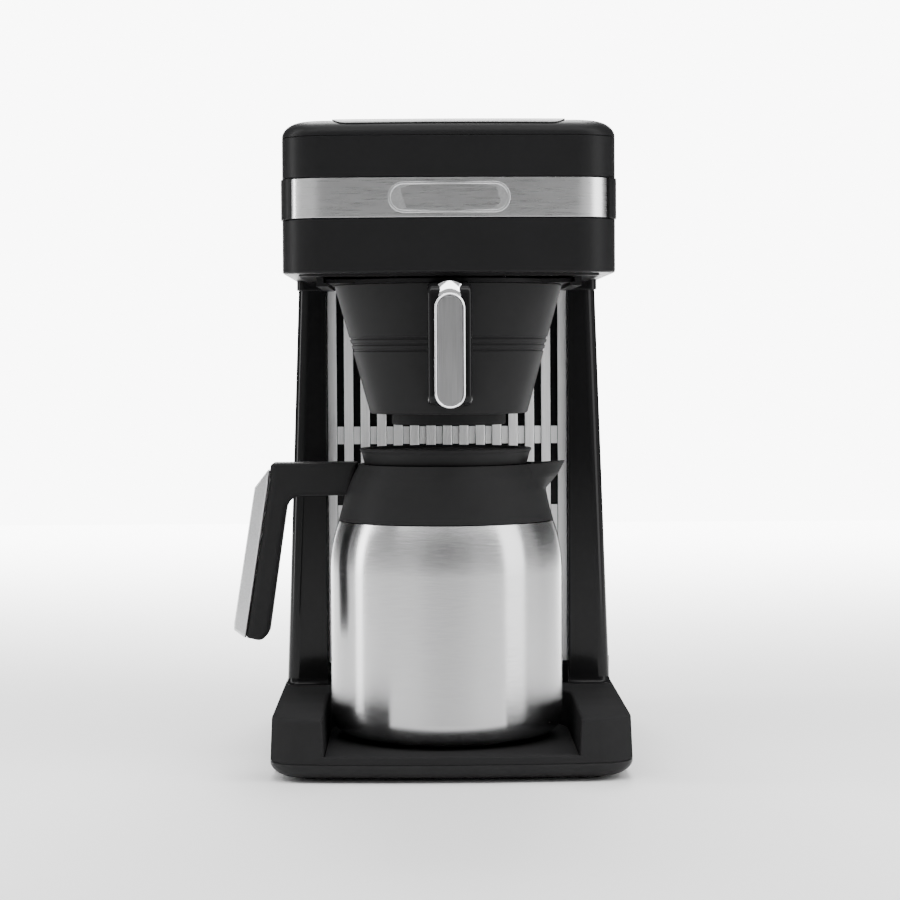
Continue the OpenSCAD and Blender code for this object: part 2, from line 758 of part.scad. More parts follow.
module funnel_cone() color(black) at_funnel() difference() {
    cone(funnel_foot_r, funnel_top_r, cone_z, rim_z - rim_t);
    cone(cone_r(cone_z + 3) - cone_wall, funnel_top_r - cone_wall + 0.01, cone_z + 3, rim_z - rim_t + 0.01);
    translate([0, 0, cone_z - 1]) cylinder(r = drip_r, h = 6);
    for (k = [0:2]) let (z = cone_z + 36.6 + 3.5 * k) translate([0, 0, z]) tube(90, cone_r(z) - 0.8, 1.7);
}

module funnel_rim() color(black) at_funnel() difference() {
    union() {
        translate([0, 0, rim_z - rim_t]) cylinder(r = rim_r, h = rim_t);
        box([-rim_r, -46, rim_z - rim_t], [rim_r, 46, rim_z]);
    }
    translate([0, 0, rim_z - 10]) cylinder(r = funnel_top_r - cone_wall, h = 20);
}

// A skirt round the drip hole, hollow underneath.
module funnel_outlet() color(black) at_funnel() difference() {
    translate([0, 0, outlet_z]) cylinder(r = outlet_r, h = cone_z - outlet_z);
    translate([0, 0, outlet_z - 1])
        cylinder(r = outlet_r - cone_wall, h = cone_z - outlet_z + 1 - outlet_roof);
    translate([0, 0, outlet_z - 1]) cylinder(r = drip_r, h = 20);
}

// A D-shaped grip: two arms and an upright bar in front of the cone.
module funnel_handle() color(gloss_black) difference() {
    box([-grip_w / 2, grip_front_y + 1.5, grip_z], [grip_w / 2, axis_y - 40, grip_top_z]);
    at_funnel() cone(funnel_foot_r + gap, funnel_top_r + gap, cone_z, rim_z - rim_t);
    at_funnel() translate([0, 0, rim_z - rim_t - 0.1]) cylinder(r = rim_r + 0.2, h = 20);
    // finger gap, open to both sides
    box([-30, grip_front_y + 11, grip_z + 10.6], [30, axis_y - 20, grip_top_z - 11]);
    // seat of the bezel
    at_bezel(2.5) linear_extrude(5) bezel_outline(0.2);
}

// Middle of the bezel, this far behind its front, with Z turned to point forward.
module at_bezel(depth)
    translate([0, grip_front_y + depth, grip_z + 0.6 + bezel_h / 2]) rotate([90, 0, 0]) children();

// The oval frame, and the trim that widens from it over the top of the grip.
module bezel_outline(grow = 0) {
    top = bezel_h / 2;
    rounded_box_2d(bezel_w + 2 * grow, bezel_h + 2 * grow, bezel_w / 2 - 0.1);
    polygon([
        [-6.4 - grow, top - 4], [-8.3 - grow, top + bezel_trim_h + grow],
        [8.3 + grow, top + bezel_trim_h + grow], [6.4 + grow, top - 4]]);
}

module funnel_bezel() color(steel) at_bezel(2.5) difference() {
    linear_extrude(2.5) bezel_outline();
    translate([0, 0, 1]) linear_extrude(5)
        rounded_box_2d(bezel_w - 3.2, bezel_h - 3.2, bezel_w / 2 - 1.7);
}

module funnel_insert() color(silver) at_bezel(1.5)
    linear_extrude(1) rounded_box_2d(bezel_w - 3.6, bezel_h - 3.6, bezel_w / 2 - 1.9);

// ---------------------------------------------------------------- carafe

module at_carafe() translate([carafe_x, axis_y, flask_z]) children();

// Half section of the flask's outside: foot, rounded heel, wall and shoulder.
function flask_profile(inset = 0) =
    let (r = flask_r - inset) concat(
        [[0, inset + 1], [56 - inset, inset + 1]],
        [for (a = [-80:16:0]) [r - 13 + 13 * cos(a), 14 + inset + (14 - 1) * sin(a)]],
        [[r, 60], [r, 98]],
        [for (a = [12:12:36]) [r - 27 * (1 - cos(a)), 98 + 51 * sin(a)]]);

function top_of(profile) = profile[len(profile) - 1];

module flask_solid(inset, over) {
    p = flask_profile(inset);
    top = top_of(p);
    rotate_extrude() polygon(concat(p, [[top.x, seam_h + over], [0, seam_h + over]]));
}

module carafe_shell() color(steel) at_carafe() difference() {
    flask_solid(0, 0);
    flask_solid(steel_t, 1);
    translate([0, 0, -1]) cylinder(r = bottom_r, h = 10);
}

// Disc welded into the shell's foot.
module flask_bottom() color(steel) at_carafe() translate([0, 0, 1]) cylinder(r = bottom_r, h = steel_t);

// Ring that joins the shell to the liner under the collar.
module flask_ring() color(steel) at_carafe()
    translate([0, 0, seam_h - 1]) tube(flask_ring_r, neck_r + 0.05, 1);

module carafe_liner() color(steel) at_carafe() difference() {
    translate([0, 0, liner_z]) cylinder(r = liner_r, h = liner_neck_z - liner_z);
    translate([0, 0, liner_z + steel_t]) cylinder(r = liner_r - steel_t, h = liner_neck_z);
}

// Narrows from the liner's wall to its mouth.
module liner_neck() color(steel) at_carafe() difference() {
    union() {
        cone(liner_r, neck_r, liner_neck_z, neck_z);
        translate([0, 0, neck_z]) cylinder(r = neck_r, h = neck_h);
    }
    cone(liner_r - steel_t + neck_slope, neck_r - steel_t, liner_neck_z - 1, neck_z);
    translate([0, 0, neck_z - 0.01]) cylinder(r = neck_r - steel_t, h = neck_h + 1);
}

module carafe_foot() color(black) at_carafe() cylinder(r = 54, h = 1);

// The collar's outside, from the seam up to the mouth.
collar_points = [[63.7, seam_h + 0.4], [61.7, 135.4], [59.7, 146.3], [56.4, 155], [52.3, collar_h]];
spout_tip = [71, 163.5];

module spout(grow = 0) {
    z0 = seam_h + 13;
    hull() {
        translate([46, -15 + grow, z0 + 6]) cube([1, 30 - 2 * grow, collar_h - z0 - 6]);
        translate([48, -12 + grow, z0]) cube([1, 24 - 2 * grow, 1]);
        translate([spout_tip.x - 2.5 - grow, -2.5 + grow / 2, spout_tip[1] - 2])
            cube([2, 5 - grow, 2 - grow / 4]);
        translate([57 - grow, -9 + grow, spout_tip[1] - 12]) cube([1, 18 - 2 * grow, 1]);
    }
}

module carafe_collar() color(black) at_carafe() difference() {
    union() {
        rotate_extrude() polygon(concat(
            [[50.4, seam_h + 0.4]], collar_points, [[50.4, collar_h]]));
        intersection() {
            spout();
            translate([0, 0, seam_h]) cylinder(r = 90, h = spout_tip[1] - seam_h - 0.2);
        }
        // the boss that the handle's arm butts against
        box([-61.2, -11, 139.6], [-52, 11, collar_h - 0.5]);
    }
    translate([0, 0, seam_h - 5]) cylinder(r = 50.4, h = 20);
    translate([0, 0, seam_h + 5]) cylinder(r = 46.5, h = 60);
    translate([1.5, 0, 2.5]) spout(2);
    for (z = handle_screw_z) translate([-63, 0, z]) rotate([0, 90, 0]) cylinder(r = 1.7, h = 12);
}

// Side outline of the whole handle in X and height, with the grip leaning out at its foot.
function handle_outline() = concat(
    [[-61.2, 143.6], [-61.2, 163], [-104, 163]],
    [[-113.3, 148.4], [-126, 67.8], [-126.2, 64.3]],
    [[-119.6, 58.6], [-110.4, 57]],
    arc(-110.6, 62, 5, -80, 0, 4),
    [[-95, 135]],
    arc(-86.8, 135.3, 8.3, 178, 90, 4));

function cap_outline() = [
    [-104.2, 160.3], [-113.3, 148.4], [-126, 67.8], [-126.2, 64.3],
    [-119.6, 58.6], [-117.7, 68.3], [-105, 151.8]];

module handle_slice(outline, half)
    rotate([90, 0, 0]) translate([0, 0, -half]) linear_extrude(2 * half) polygon(outline);

module carafe_handle() color(black) at_carafe() difference() {
    handle_slice(handle_outline(), grip_y_half);
    handle_slice(cap_outline(), grip_y_half + 1);
    for (z = handle_screw_z) translate([-75, 0, z]) rotate([0, 90, 0]) cylinder(r = 1.7, h = 20);
}

module carafe_grip_cap() color(silver) at_carafe() handle_slice(cap_outline(), grip_y_half);

module handle_screws() color(steel) at_carafe()
    for (z = handle_screw_z) translate([-74, 0, z]) rotate([0, 90, 0]) cylinder(r = 1.6, h = 21);

module carafe_lid() color(black) at_carafe() difference() {
    union() {
        cone(48.4, 51, collar_h + gap, lid_h);
        translate([0, 0, 138]) cylinder(r = 45, h = collar_h + gap - 138);
    }
    // seat of the seal
    translate([0, 0, 144]) tube(60, 43, 3);
    // dished top that drains to the valve
    cone(14, 43, lid_h - 6, lid_h + 0.01);
    translate([0, 0, 133]) cylinder(r = 41, h = lid_h - 10 - 133);
    translate([0, 0, lid_h - 12]) cylinder(r = 7.5, h = 20);
}

module lid_seal() color(rubber_grey) at_carafe() translate([0, 0, 144]) tube(46.2, 43, 3);

// Hangs open by its three arms, and its disc closes the hole when the carafe is tipped.
module lid_valve() color(black) at_carafe() {
    for (k = [0:2]) rotate([0, 0, 120 * k]) translate([0, -1.5, lid_h - 6]) cube([11, 3, 1.4]);
    translate([0, 0, lid_h - 15]) cylinder(r = 2.5, h = 10);
    translate([0, 0, lid_h - 16]) cylinder(r = 10, h = 1.8);
}

// ---------------------------------------------------------------- assembly

base_pan();
base_deck();
drip_plate();
feet();
base_screws();
pillar_left();
pillar_right();
tower_front();
decor_grille();
rear_cover();
rear_screws();
cord_gland();
switch_bezel();
power_rocker();
tank();
tank_gasket();
tank_lid();
tank_bracket();
heating_element();
control_thermostat();
limit_thermostat();
terminal_block();
fill_tube();
spray_tube();
spray_head();
spray_screws();
neck_collar();
head_lower();
belt();
front_band();
badge();
head_upper();
top_frame();
fill_basin();
valve_seat();
funnel_rails();
hinge_pin();
fill_lid();
valve_guide();
valve_plunger();
valve_spring();
funnel_cone();
funnel_rim();
funnel_outlet();
funnel_handle();
funnel_bezel();
funnel_insert();
carafe_shell();
flask_bottom();
flask_ring();
carafe_liner();
liner_neck();
carafe_foot();
carafe_collar();
carafe_handle();
carafe_grip_cap();
handle_screws();
carafe_lid();
lid_seal();
lid_valve();
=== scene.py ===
"""A drip coffee maker's looks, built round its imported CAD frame.

Lengths in the shape code are millimetres, in the frame's axes. add_mesh and add_plain turn them into
metres.
"""
import json
import math

import bmesh
import bpy
from mathutils import Matrix, Vector


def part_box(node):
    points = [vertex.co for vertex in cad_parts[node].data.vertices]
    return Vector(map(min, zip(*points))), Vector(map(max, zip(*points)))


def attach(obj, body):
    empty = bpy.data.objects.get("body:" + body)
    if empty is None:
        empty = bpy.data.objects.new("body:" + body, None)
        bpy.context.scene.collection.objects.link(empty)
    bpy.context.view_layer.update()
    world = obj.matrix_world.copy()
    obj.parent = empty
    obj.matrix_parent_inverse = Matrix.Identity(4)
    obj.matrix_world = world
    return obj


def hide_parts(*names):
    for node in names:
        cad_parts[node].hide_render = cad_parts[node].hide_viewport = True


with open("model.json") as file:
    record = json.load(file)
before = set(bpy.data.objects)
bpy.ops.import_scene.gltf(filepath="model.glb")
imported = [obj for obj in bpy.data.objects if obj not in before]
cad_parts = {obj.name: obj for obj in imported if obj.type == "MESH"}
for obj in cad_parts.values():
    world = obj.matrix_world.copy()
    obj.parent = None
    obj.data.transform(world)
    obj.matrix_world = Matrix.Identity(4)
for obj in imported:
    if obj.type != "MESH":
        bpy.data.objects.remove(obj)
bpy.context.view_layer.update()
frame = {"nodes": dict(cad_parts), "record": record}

MM = 0.001
TINY = 1e-6


# ------------------------------------------------------------------ sizes, from the frame

def box_mm(node):
    """The low and high corners of a node's box, in millimetres."""
    low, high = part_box(node)
    return Vector(low) / MM, Vector(high) / MM


deck_lo, deck_hi = box_mm("base_deck")
pan_lo, _ = box_mm("base_pan")
plate_lo, plate_hi = box_mm("drip_plate")
head_lo, _ = box_mm("head_lower")
belt_lo, belt_hi = box_mm("belt")
band_lo, band_hi = box_mm("front_band")
badge_lo, badge_hi = box_mm("badge")
upper_lo, upper_hi = box_mm("head_upper")
_, top_hi = box_mm("top_frame")
_, lid_hi = box_mm("fill_lid")
pillar_lo, pillar_hi = box_mm("pillar_right")
grille_lo, grille_hi = box_mm("decor_grille")
neck_lo, neck_hi = box_mm("neck_collar")
cone_lo, cone_hi = box_mm("funnel_cone")
outlet_lo, outlet_hi = box_mm("funnel_outlet")
grip_lo, grip_hi = box_mm("funnel_handle")
bezel_lo, bezel_hi = box_mm("funnel_bezel")
flask_lo, flask_hi = box_mm("carafe_shell")
collar_lo, _ = box_mm("carafe_collar")
stopper_lo, stopper_hi = box_mm("carafe_lid")
_, handle_hi = box_mm("carafe_handle")

FRONT = deck_lo.y
BACK = deck_hi.y
FLASK_X = (flask_lo.x + flask_hi.x) / 2
AXIS_Y = (cone_lo.y + cone_hi.y) / 2
FLASK_R = (flask_hi.x - flask_lo.x) / 2


# ------------------------------------------------------------------ materials

CLOUD_SCALE = 35
GLOSS_SCALE = 60
GRAIN_SCALE = 2200
GRAIN_DEPTH = 0.0001
BRUSH_TURN = 0.25


def nodes_of(mat):
    mat.use_nodes = True
    tree = mat.node_tree
    return tree, tree.nodes["Principled BSDF"]


def noise(tree, scale, stretch=(1, 1, 1), detail=4.0, rough=0.5):
    """A noise in object space, whose grain is longer along the axes with a small stretch value."""
    coord = tree.nodes.new("ShaderNodeTexCoord")
    mapping = tree.nodes.new("ShaderNodeMapping")
    mapping.inputs["Scale"].default_value = stretch
    tex = tree.nodes.new("ShaderNodeTexNoise")
    tex.inputs["Scale"].default_value = scale
    tex.inputs["Detail"].default_value = detail
    tex.inputs["Roughness"].default_value = rough
    tree.links.new(coord.outputs["Object"], mapping.inputs["Vector"])
    tree.links.new(mapping.outputs["Vector"], tex.inputs["Vector"])
    return tex.outputs["Fac"]


def ramp(tree, fac, low, high):
    """A colour between low and high, over the middle part of the noise's range."""
    node = tree.nodes.new("ShaderNodeValToRGB")
    for stop, position, colour in zip(node.color_ramp.elements, (0.3, 0.7), (low, high)):
        stop.position = position
        stop.color = (*colour, 1)
    tree.links.new(fac, node.inputs["Fac"])
    return node.outputs["Color"]


def spread(tree, fac, low, high):
    node = tree.nodes.new("ShaderNodeMapRange")
    node.inputs["To Min"].default_value = low
    node.inputs["To Max"].default_value = high
    tree.links.new(fac, node.inputs["Value"])
    return node.outputs["Result"]


def bump(tree, bsdf, height, strength):
    node = tree.nodes.new("ShaderNodeBump")
    node.inputs["Strength"].default_value = strength
    node.inputs["Distance"].default_value = GRAIN_DEPTH
    tree.links.new(height, node.inputs["Height"])
    tree.links.new(node.outputs["Normal"], bsdf.inputs["Normal"])


def plastic(name, tone, rough, grain=0.0, specular=0.5):
    """Moulded plastic: slightly uneven in tone and gloss, with a fine grain where grain is over 0."""
    mat = bpy.data.materials.new(name)
    tree, bsdf = nodes_of(mat)
    cloud = noise(tree, CLOUD_SCALE)
    low = [c * 0.95 for c in tone]
    high = [c * 1.05 for c in tone]
    tree.links.new(ramp(tree, cloud, low, high), bsdf.inputs["Base Color"])
    gloss = noise(tree, GLOSS_SCALE)
    tree.links.new(spread(tree, gloss, rough * 0.9, rough * 1.1), bsdf.inputs["Roughness"])
    bsdf.inputs["Specular IOR Level"].default_value = specular
    if grain:
        bump(tree, bsdf, noise(tree, GRAIN_SCALE, detail=2), grain)
    return mat


def metal(name, tone, rough, streak=0.0, stretch=(1, 1, 1), anisotropy=0.0, scale=400, contrast=0.08,
          metallic=1.0):
    """Metal with fine streaks along the axes whose stretch is small."""
    mat = bpy.data.materials.new(name)
    tree, bsdf = nodes_of(mat)
    bsdf.inputs["Metallic"].default_value = metallic
    lines = noise(tree, scale, stretch, detail=3)
    low = [c * (1 - contrast) for c in tone]
    high = [min(1, c * (1 + contrast)) for c in tone]
    tree.links.new(ramp(tree, lines, low, high), bsdf.inputs["Base Color"])
    tree.links.new(spread(tree, lines, rough * 0.8, rough * 1.25), bsdf.inputs["Roughness"])
    bsdf.inputs["Anisotropic"].default_value = anisotropy
    bsdf.inputs["Anisotropic Rotation"].default_value = BRUSH_TURN
    if streak:
        bump(tree, bsdf, lines, streak)
    return mat


satin_black = plastic("satin_black", (0.0112, 0.0112, 0.0116), 0.38, grain=0.12, specular=0.09)
soft_black = plastic("soft_black", (0.0190, 0.0190, 0.0194), 0.46, grain=0.15, specular=0.03)
gloss_black = plastic("gloss_black", (0.0080, 0.0080, 0.0084), 0.09, specular=0.14)
deck_black = plastic("deck_black", (0.0250, 0.0250, 0.0255), 0.36, grain=0.06, specular=0.03)
deck_gloss = plastic("deck_gloss", (0.0220, 0.0220, 0.0225), 0.18, specular=0.0)
lid_black = plastic("lid_black", (0.0130, 0.0130, 0.0134), 0.30, specular=0.16)
grey_plastic = plastic("grey_plastic", (0.62, 0.62, 0.60), 0.4)
silver_paint = metal("silver_paint", (0.66, 0.665, 0.67), 0.36, streak=0.05, scale=900)
brushed_insert = metal(
    "brushed_insert", (0.40, 0.40, 0.405), 0.34, streak=0.2, stretch=(1, 1, 0.03), scale=1500)
brushed_steel = metal(
    "brushed_steel", (0.56, 0.56, 0.565), 0.24, streak=0.2, stretch=(0.04, 0.04, 1), anisotropy=0.9,
    scale=2500)
band_steel = metal(
    "band_steel", (0.76, 0.76, 0.765), 0.28, streak=0.04, stretch=(0.02, 0.02, 1), scale=2500,
    contrast=0.03)
grille_steel = metal(
    "grille_steel", (0.94, 0.94, 0.945), 0.50, streak=0.15, stretch=(1, 1, 0.03), scale=1800,
    metallic=0.4)
tank_steel = metal("tank_steel", (0.55, 0.55, 0.56), 0.33, streak=0.1, stretch=(1, 1, 0.05), scale=900)
chrome = metal("chrome", (0.86, 0.86, 0.87), 0.06, scale=120, contrast=0.03)
zinc = metal("zinc", (0.60, 0.61, 0.62), 0.36, scale=700)
brass = metal("brass", (0.62, 0.45, 0.22), 0.32, scale=700)
rubber = plastic("rubber", (0.008, 0.008, 0.008), 0.75, grain=0.3, specular=0.2)

SLOT_MATERIALS = {
    "gloss_black": gloss_black,
    "satin_black": satin_black,
    "grey_plastic": grey_plastic,
    "silver_plastic": silver_paint,
    "stainless": tank_steel,
    "chrome": chrome,
    "zinc": zinc,
    "brass": brass,
    "rubber": rubber,
}


# ------------------------------------------------------------------ outlines, in millimetres

NEARLY_STRAIGHT = math.radians(89.5)
SHARPEST_MITRE = 0.5
LEAST_R = 0.02


def fillet(points, closed=True, step=12):
    """Points given as (u, v) or (u, v, radius), with each radius turned into an arc."""
    n = len(points)
    out = []
    for i, point in enumerate(points):
        here = Vector(point[:2])
        radius = point[2] if len(point) > 2 else 0
        if not radius or (not closed and i in (0, n - 1)):
            out.append(tuple(here))
            continue
        before = (Vector(points[i - 1][:2]) - here).normalized()
        after = (Vector(points[(i + 1) % n][:2]) - here).normalized()
        half = before.angle(after) / 2
        if half > NEARLY_STRAIGHT:
            out.append(tuple(here))
            continue
        start = here + before * radius / math.tan(half)
        end = here + after * radius / math.tan(half)
        centre = here + (before + after).normalized() * radius / math.sin(half)
        turn = (start - centre).angle_signed(end - centre)
        count = max(2, math.ceil(abs(math.degrees(turn)) / step))
        for k in range(count + 1):
            spoke = start - centre
            spoke.rotate(Matrix.Rotation(-turn * k / count, 2))
            out.append(tuple(centre + spoke))
    return out


def area_of(outline):
    return sum(a[0] * b[1] - b[0] * a[1] for a, b in zip(outline, outline[1:] + outline[:1])) / 2


def inset_outline(outline, distance):
    """The outline moved inwards by distance, each corner along its own mitre."""
    if not distance:
        return outline
    side = 1 if area_of(outline) > 0 else -1
    out = []
    n = len(outline)
    for i in range(n):
        here = Vector(outline[i])
        a = here - Vector(outline[i - 1])
        b = Vector(outline[(i + 1) % n]) - here
        if a.length < TINY or b.length < TINY:
            a = b if a.length < TINY else a
            b = a
        a.normalize()
        b.normalize()
        na = Vector((-a.y, a.x)) * side
        nb = Vector((-b.y, b.x)) * side
        mitre = na + nb
        mitre = mitre / max(mitre.length_squared / 2, SHARPEST_MITRE)
        out.append(tuple(here + mitre * distance))
    return out


def corner_outline(corners, inset=0.0, step=10):
    """A polygon of (u, v, radius) corners moved inwards, with as many points at every inset."""
    sharp = [c[:2] for c in corners]
    moved = inset_outline(sharp, inset)
    side = 1 if area_of(sharp) > 0 else -1
    n = len(corners)
    out = []
    for i in range(n):
        before = (Vector(sharp[i]) - Vector(sharp[i - 1])).normalized()
        after = (Vector(sharp[(i + 1) % n]) - Vector(sharp[i])).normalized()
        turn = math.atan2(before.x * after.y - before.y * after.x, before.dot(after))
        radius = corners[i][2] if len(corners[i]) > 2 else 0
        here = Vector(moved[i])
        if not radius or abs(turn) < 0.01:
            out.append(tuple(here))
            continue
        radius = max(radius - inset if turn * side > 0 else radius + inset, LEAST_R)
        start = here - before * radius * math.tan(abs(turn) / 2)
        way = 1 if turn > 0 else -1
        centre = start + Vector((-before.y, before.x)) * radius * way
        first = math.atan2(start.y - centre.y, start.x - centre.x)
        count = max(2, math.ceil(abs(math.degrees(turn)) / step))
        for k in range(count + 1):
            angle = first + turn * k / count
            out.append((centre.x + radius * math.cos(angle), centre.y + radius * math.sin(angle)))
    return out


def arc(cx, cy, radius, start, end, count):
    """Points on a circle from start to end, in degrees."""
    angles = [math.radians(start + (end - start) * i / count) for i in range(count + 1)]
    return [(cx + radius * math.cos(a), cy + radius * math.sin(a)) for a in angles]


def quarter_turn(steps):
    """The angles from 0 to a right angle, in equal steps."""
    return [math.pi / 2 * k / steps for k in range(steps + 1)]


BASE_W = deck_hi.x - deck_lo.x
BASE_CROWN = 4.0
BASE_FRONT_R = 22
BASE_BACK_R = 18
HEAD_W = upper_hi.x - upper_lo.x
HEAD_CROWN = 3.5
HEAD_FRONT_R = 26
HEAD_BACK_R = 20
CROWN_STEPS = 24


def crowned_plan(width, front_r, back_r, crown, inset=0.0):
    """A rounded rectangle with a crowned front side, counter-clockwise from its left side."""
    hw = width / 2 - inset
    r = max(front_r - inset, 1)
    q = max(back_r - inset, 1)
    y0 = FRONT + inset
    y1 = BACK - inset
    turn = math.degrees(math.atan(2 * crown / (hw - r)))
    h = hw - r * (1 - math.sin(math.radians(turn)))
    cy = y0 + crown + r * math.cos(math.radians(turn))
    front = []
    for i in range(1, CROWN_STEPS):
        across = -1 + 2 * i / CROWN_STEPS
        front.append((h * across, y0 + crown * across ** 2))
    return (arc(-hw + r, cy, r, 180, 270 - turn, 12) + front + arc(hw - r, cy, r, 270 + turn, 360, 12)
            + arc(hw - q, y1 - q, q, 0, 90, 10) + arc(-hw + q, y1 - q, q, 90, 180, 10))


def base_plan(inset=0.0):
    return crowned_plan(BASE_W, BASE_FRONT_R, BASE_BACK_R, BASE_CROWN, inset)


def head_plan(inset=0.0):
    return crowned_plan(HEAD_W, HEAD_FRONT_R, HEAD_BACK_R, HEAD_CROWN, inset)


def front_y(x, width, corner_r, crown):
    """Y of a crowned front at x from the middle."""
    half = width / 2 - corner_r * 0.9
    return FRONT + crown * min(1, abs(x) / half) ** 2


def base_front_y(x):
    return front_y(x, BASE_W, BASE_FRONT_R, BASE_CROWN)


def head_front_y(x):
    return front_y(x, HEAD_W, HEAD_FRONT_R, HEAD_CROWN)


def rounded_rectangle(width, height, radius, centre=(0, 0)):
    w, h = width / 2, height / 2
    corners = [(-w, -h, radius), (w, -h, radius), (w, h, radius), (-w, h, radius)]
    return [(u + centre[0], v + centre[1]) for u, v in fillet(corners)]


# ------------------------------------------------------------------ meshes

HARD_EDGE = 32


def tidy_up(bm):
    """Merges points that coincide and turns every face outwards."""
    bmesh.ops.remove_doubles(bm, verts=bm.verts, dist=TINY)
    bmesh.ops.recalc_face_normals(bm, faces=bm.faces)


def shade(bm, angle):
    """Smooth shading, with a hard line where faces meet at more than angle, in degrees."""
    for face in bm.faces:
        face.smooth = True
    for edge in bm.edges:
        edge.smooth = len(edge.link_faces) == 2 and edge.calc_face_angle() < math.radians(angle)


def add_mesh(name, verts, faces, mat, body, smooth=HARD_EDGE, replaces=(), slot=None):
    """A piece of the object that rides on a body, from points in millimetres."""
    mesh = bpy.data.meshes.new(name)
    bm = bmesh.new()
    points = [bm.verts.new([c * MM for c in v]) for v in verts]
    for face in faces:
        if len(set(face)) > 2:
            bm.faces.new([points[i] for i in face])
    tidy_up(bm)
    shade(bm, smooth)
    bm.to_mesh(mesh)
    bm.free()
    obj = bpy.data.objects.new(name, mesh)
    bpy.context.collection.objects.link(obj)
    mesh.materials.append(mat)
    keep = obj.modifiers.new("normals", "WEIGHTED_NORMAL")
    keep.keep_sharp = True
    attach(obj, body)
    if replaces:
        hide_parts(*replaces)
    return obj


def ring_faces(count, rings):
    """The faces between neighbouring rings of count points each."""
    faces = []
    for k in range(rings - 1):
        for i in range(count):
            j = (i + 1) % count
            a = k * count
            faces.append((a + i, a + j, a + count + j, a + count + i))
    return faces


def loft(rings, cap_low=True, cap_high=True):
    """Vertices and faces of a skin through rings of equal length, with a flat face over each capped end."""
    n = len(rings[0])
    verts = [v for ring in rings for v in ring]
    faces = ring_faces(n, len(rings))
    if cap_low:
        faces.append(tuple(range(n)))
    if cap_high:
        faces.append(tuple(len(verts) - n + i for i in range(n)))
    return verts, faces


def closed_loft(rings):
    """A hollow ring-shaped skin: the last ring is joined back to the first."""
    return [v for ring in rings + rings[:1] for v in ring], ring_faces(len(rings[0]), len(rings) + 1)


def joined(*parts):
    """Several (vertices, faces) pairs as one."""
    verts, faces = [], []
    for part_verts, part_faces in parts:
        shift = len(verts)
        verts += list(part_verts)
        faces += [tuple(i + shift for i in face) for face in part_faces]
    return verts, faces


AXES = {
    "x": lambda u, v, w: (w, u, v),
    "y": lambda u, v, w: (u, w, v),
    "z": lambda u, v, w: (u, v, w),
}


def prism(outline, low, high, axis="z", round_low=0.5, round_high=0.5, steps=3, corners=False):
    """An outline, or a list of rounded corners, drawn along an axis with rounded edges at both ends."""
    place = AXES[axis]
    rings = []

    def ring(inset, w):
        shape = corner_outline(outline, inset) if corners else inset_outline(outline, inset)
        rings.append([place(u, v, w) for u, v in shape])

    for radius, level, sign in ((round_low, low, 1), (round_high, high, -1)):
        angles = quarter_turn(steps)[::sign] if radius else quarter_turn(steps)[-1:]
        for angle in angles:
            ring(radius * (1 - math.sin(angle)), level + sign * radius * (1 - math.cos(angle)))
    return loft(rings)


def levels(outline_at, heights):
    """A loft through outline_at(inset) at each (inset, height)."""
    return loft([[(u, v, z) for u, v in outline_at(inset)] for inset, z in heights])


def lathe(profile, centre, closed=False, segments=128):
    """A skin of revolution about a vertical axis through centre, from (radius, height) points."""
    rings = []
    for radius, z in profile:
        rings.append([(centre[0] + radius * math.cos(math.tau * i / segments),
                       centre[1] + radius * math.sin(math.tau * i / segments), z) for i in range(segments)])
    if closed:
        return closed_loft(rings)
    return loft(rings, cap_low=profile[0][0] > 0, cap_high=profile[-1][0] > 0)


def carve(obj, shape, operation):
    """Applies a boolean with a shape in millimetres to obj."""
    helper = add_plain("cutter", shape)
    mod = obj.modifiers.new("carve", "BOOLEAN")
    mod.operation = operation
    mod.object = helper
    mod.solver = "EXACT"
    apply_modifier(obj, mod, helper)


def cut(obj, shape):
    carve(obj, shape, "DIFFERENCE")


def keep_inside(obj, shape):
    carve(obj, shape, "INTERSECT")


def add_plain(name, shape):
    verts, faces = shape
    mesh = bpy.data.meshes.new(name)
    mesh.from_pydata([[c * MM for c in v] for v in verts], [], faces)
    bm = bmesh.new()
    bm.from_mesh(mesh)
    tidy_up(bm)
    bm.to_mesh(mesh)
    bm.free()
    obj = bpy.data.objects.new(name, mesh)
    bpy.context.collection.objects.link(obj)
    return obj


def apply_modifier(obj, mod, helper):
    """Applies mod alone: the other modifiers wait, hidden, and the helper object goes."""
    others = {m.name: m.show_viewport for m in obj.modifiers if m != mod}
    for name in others:
        obj.modifiers[name].show_viewport = False
    graph = bpy.context.evaluated_depsgraph_get()
    mesh = bpy.data.meshes.new_from_object(obj.evaluated_get(graph))
    obj.modifiers.remove(mod)
    for name, shown in others.items():
        obj.modifiers[name].show_viewport = shown
    old = obj.data
    mesh.name = old.name
    obj.data = mesh
    bpy.data.meshes.remove(old)
    bpy.data.objects.remove(helper)
    bm = bmesh.new()
    bm.from_mesh(mesh)
    shade(bm, HARD_EDGE)
    bm.to_mesh(mesh)
    bm.free()


# ------------------------------------------------------------------ base

SEAM_Z = deck_lo.z
DECK_Z = deck_hi.z
RING_H = 1.1
RING_RADII = (30.0, 44.0)
RING_W = 2.5
RING_PARTS = 8
RING_PART_ANGLE = 33
LIP_Z = plate_hi.z - RING_H
LIP_DEPTH = 4.5
BAY_HALF = 72.7
BAY_BACK_Y = -10.0
BAY_BACK_R = 45.0
BAY_MOUTH_R = 1.2
PAN_EDGE_R = 16.0
DECK_EDGE_R = 1.8
DECK_TAPER = 1.0


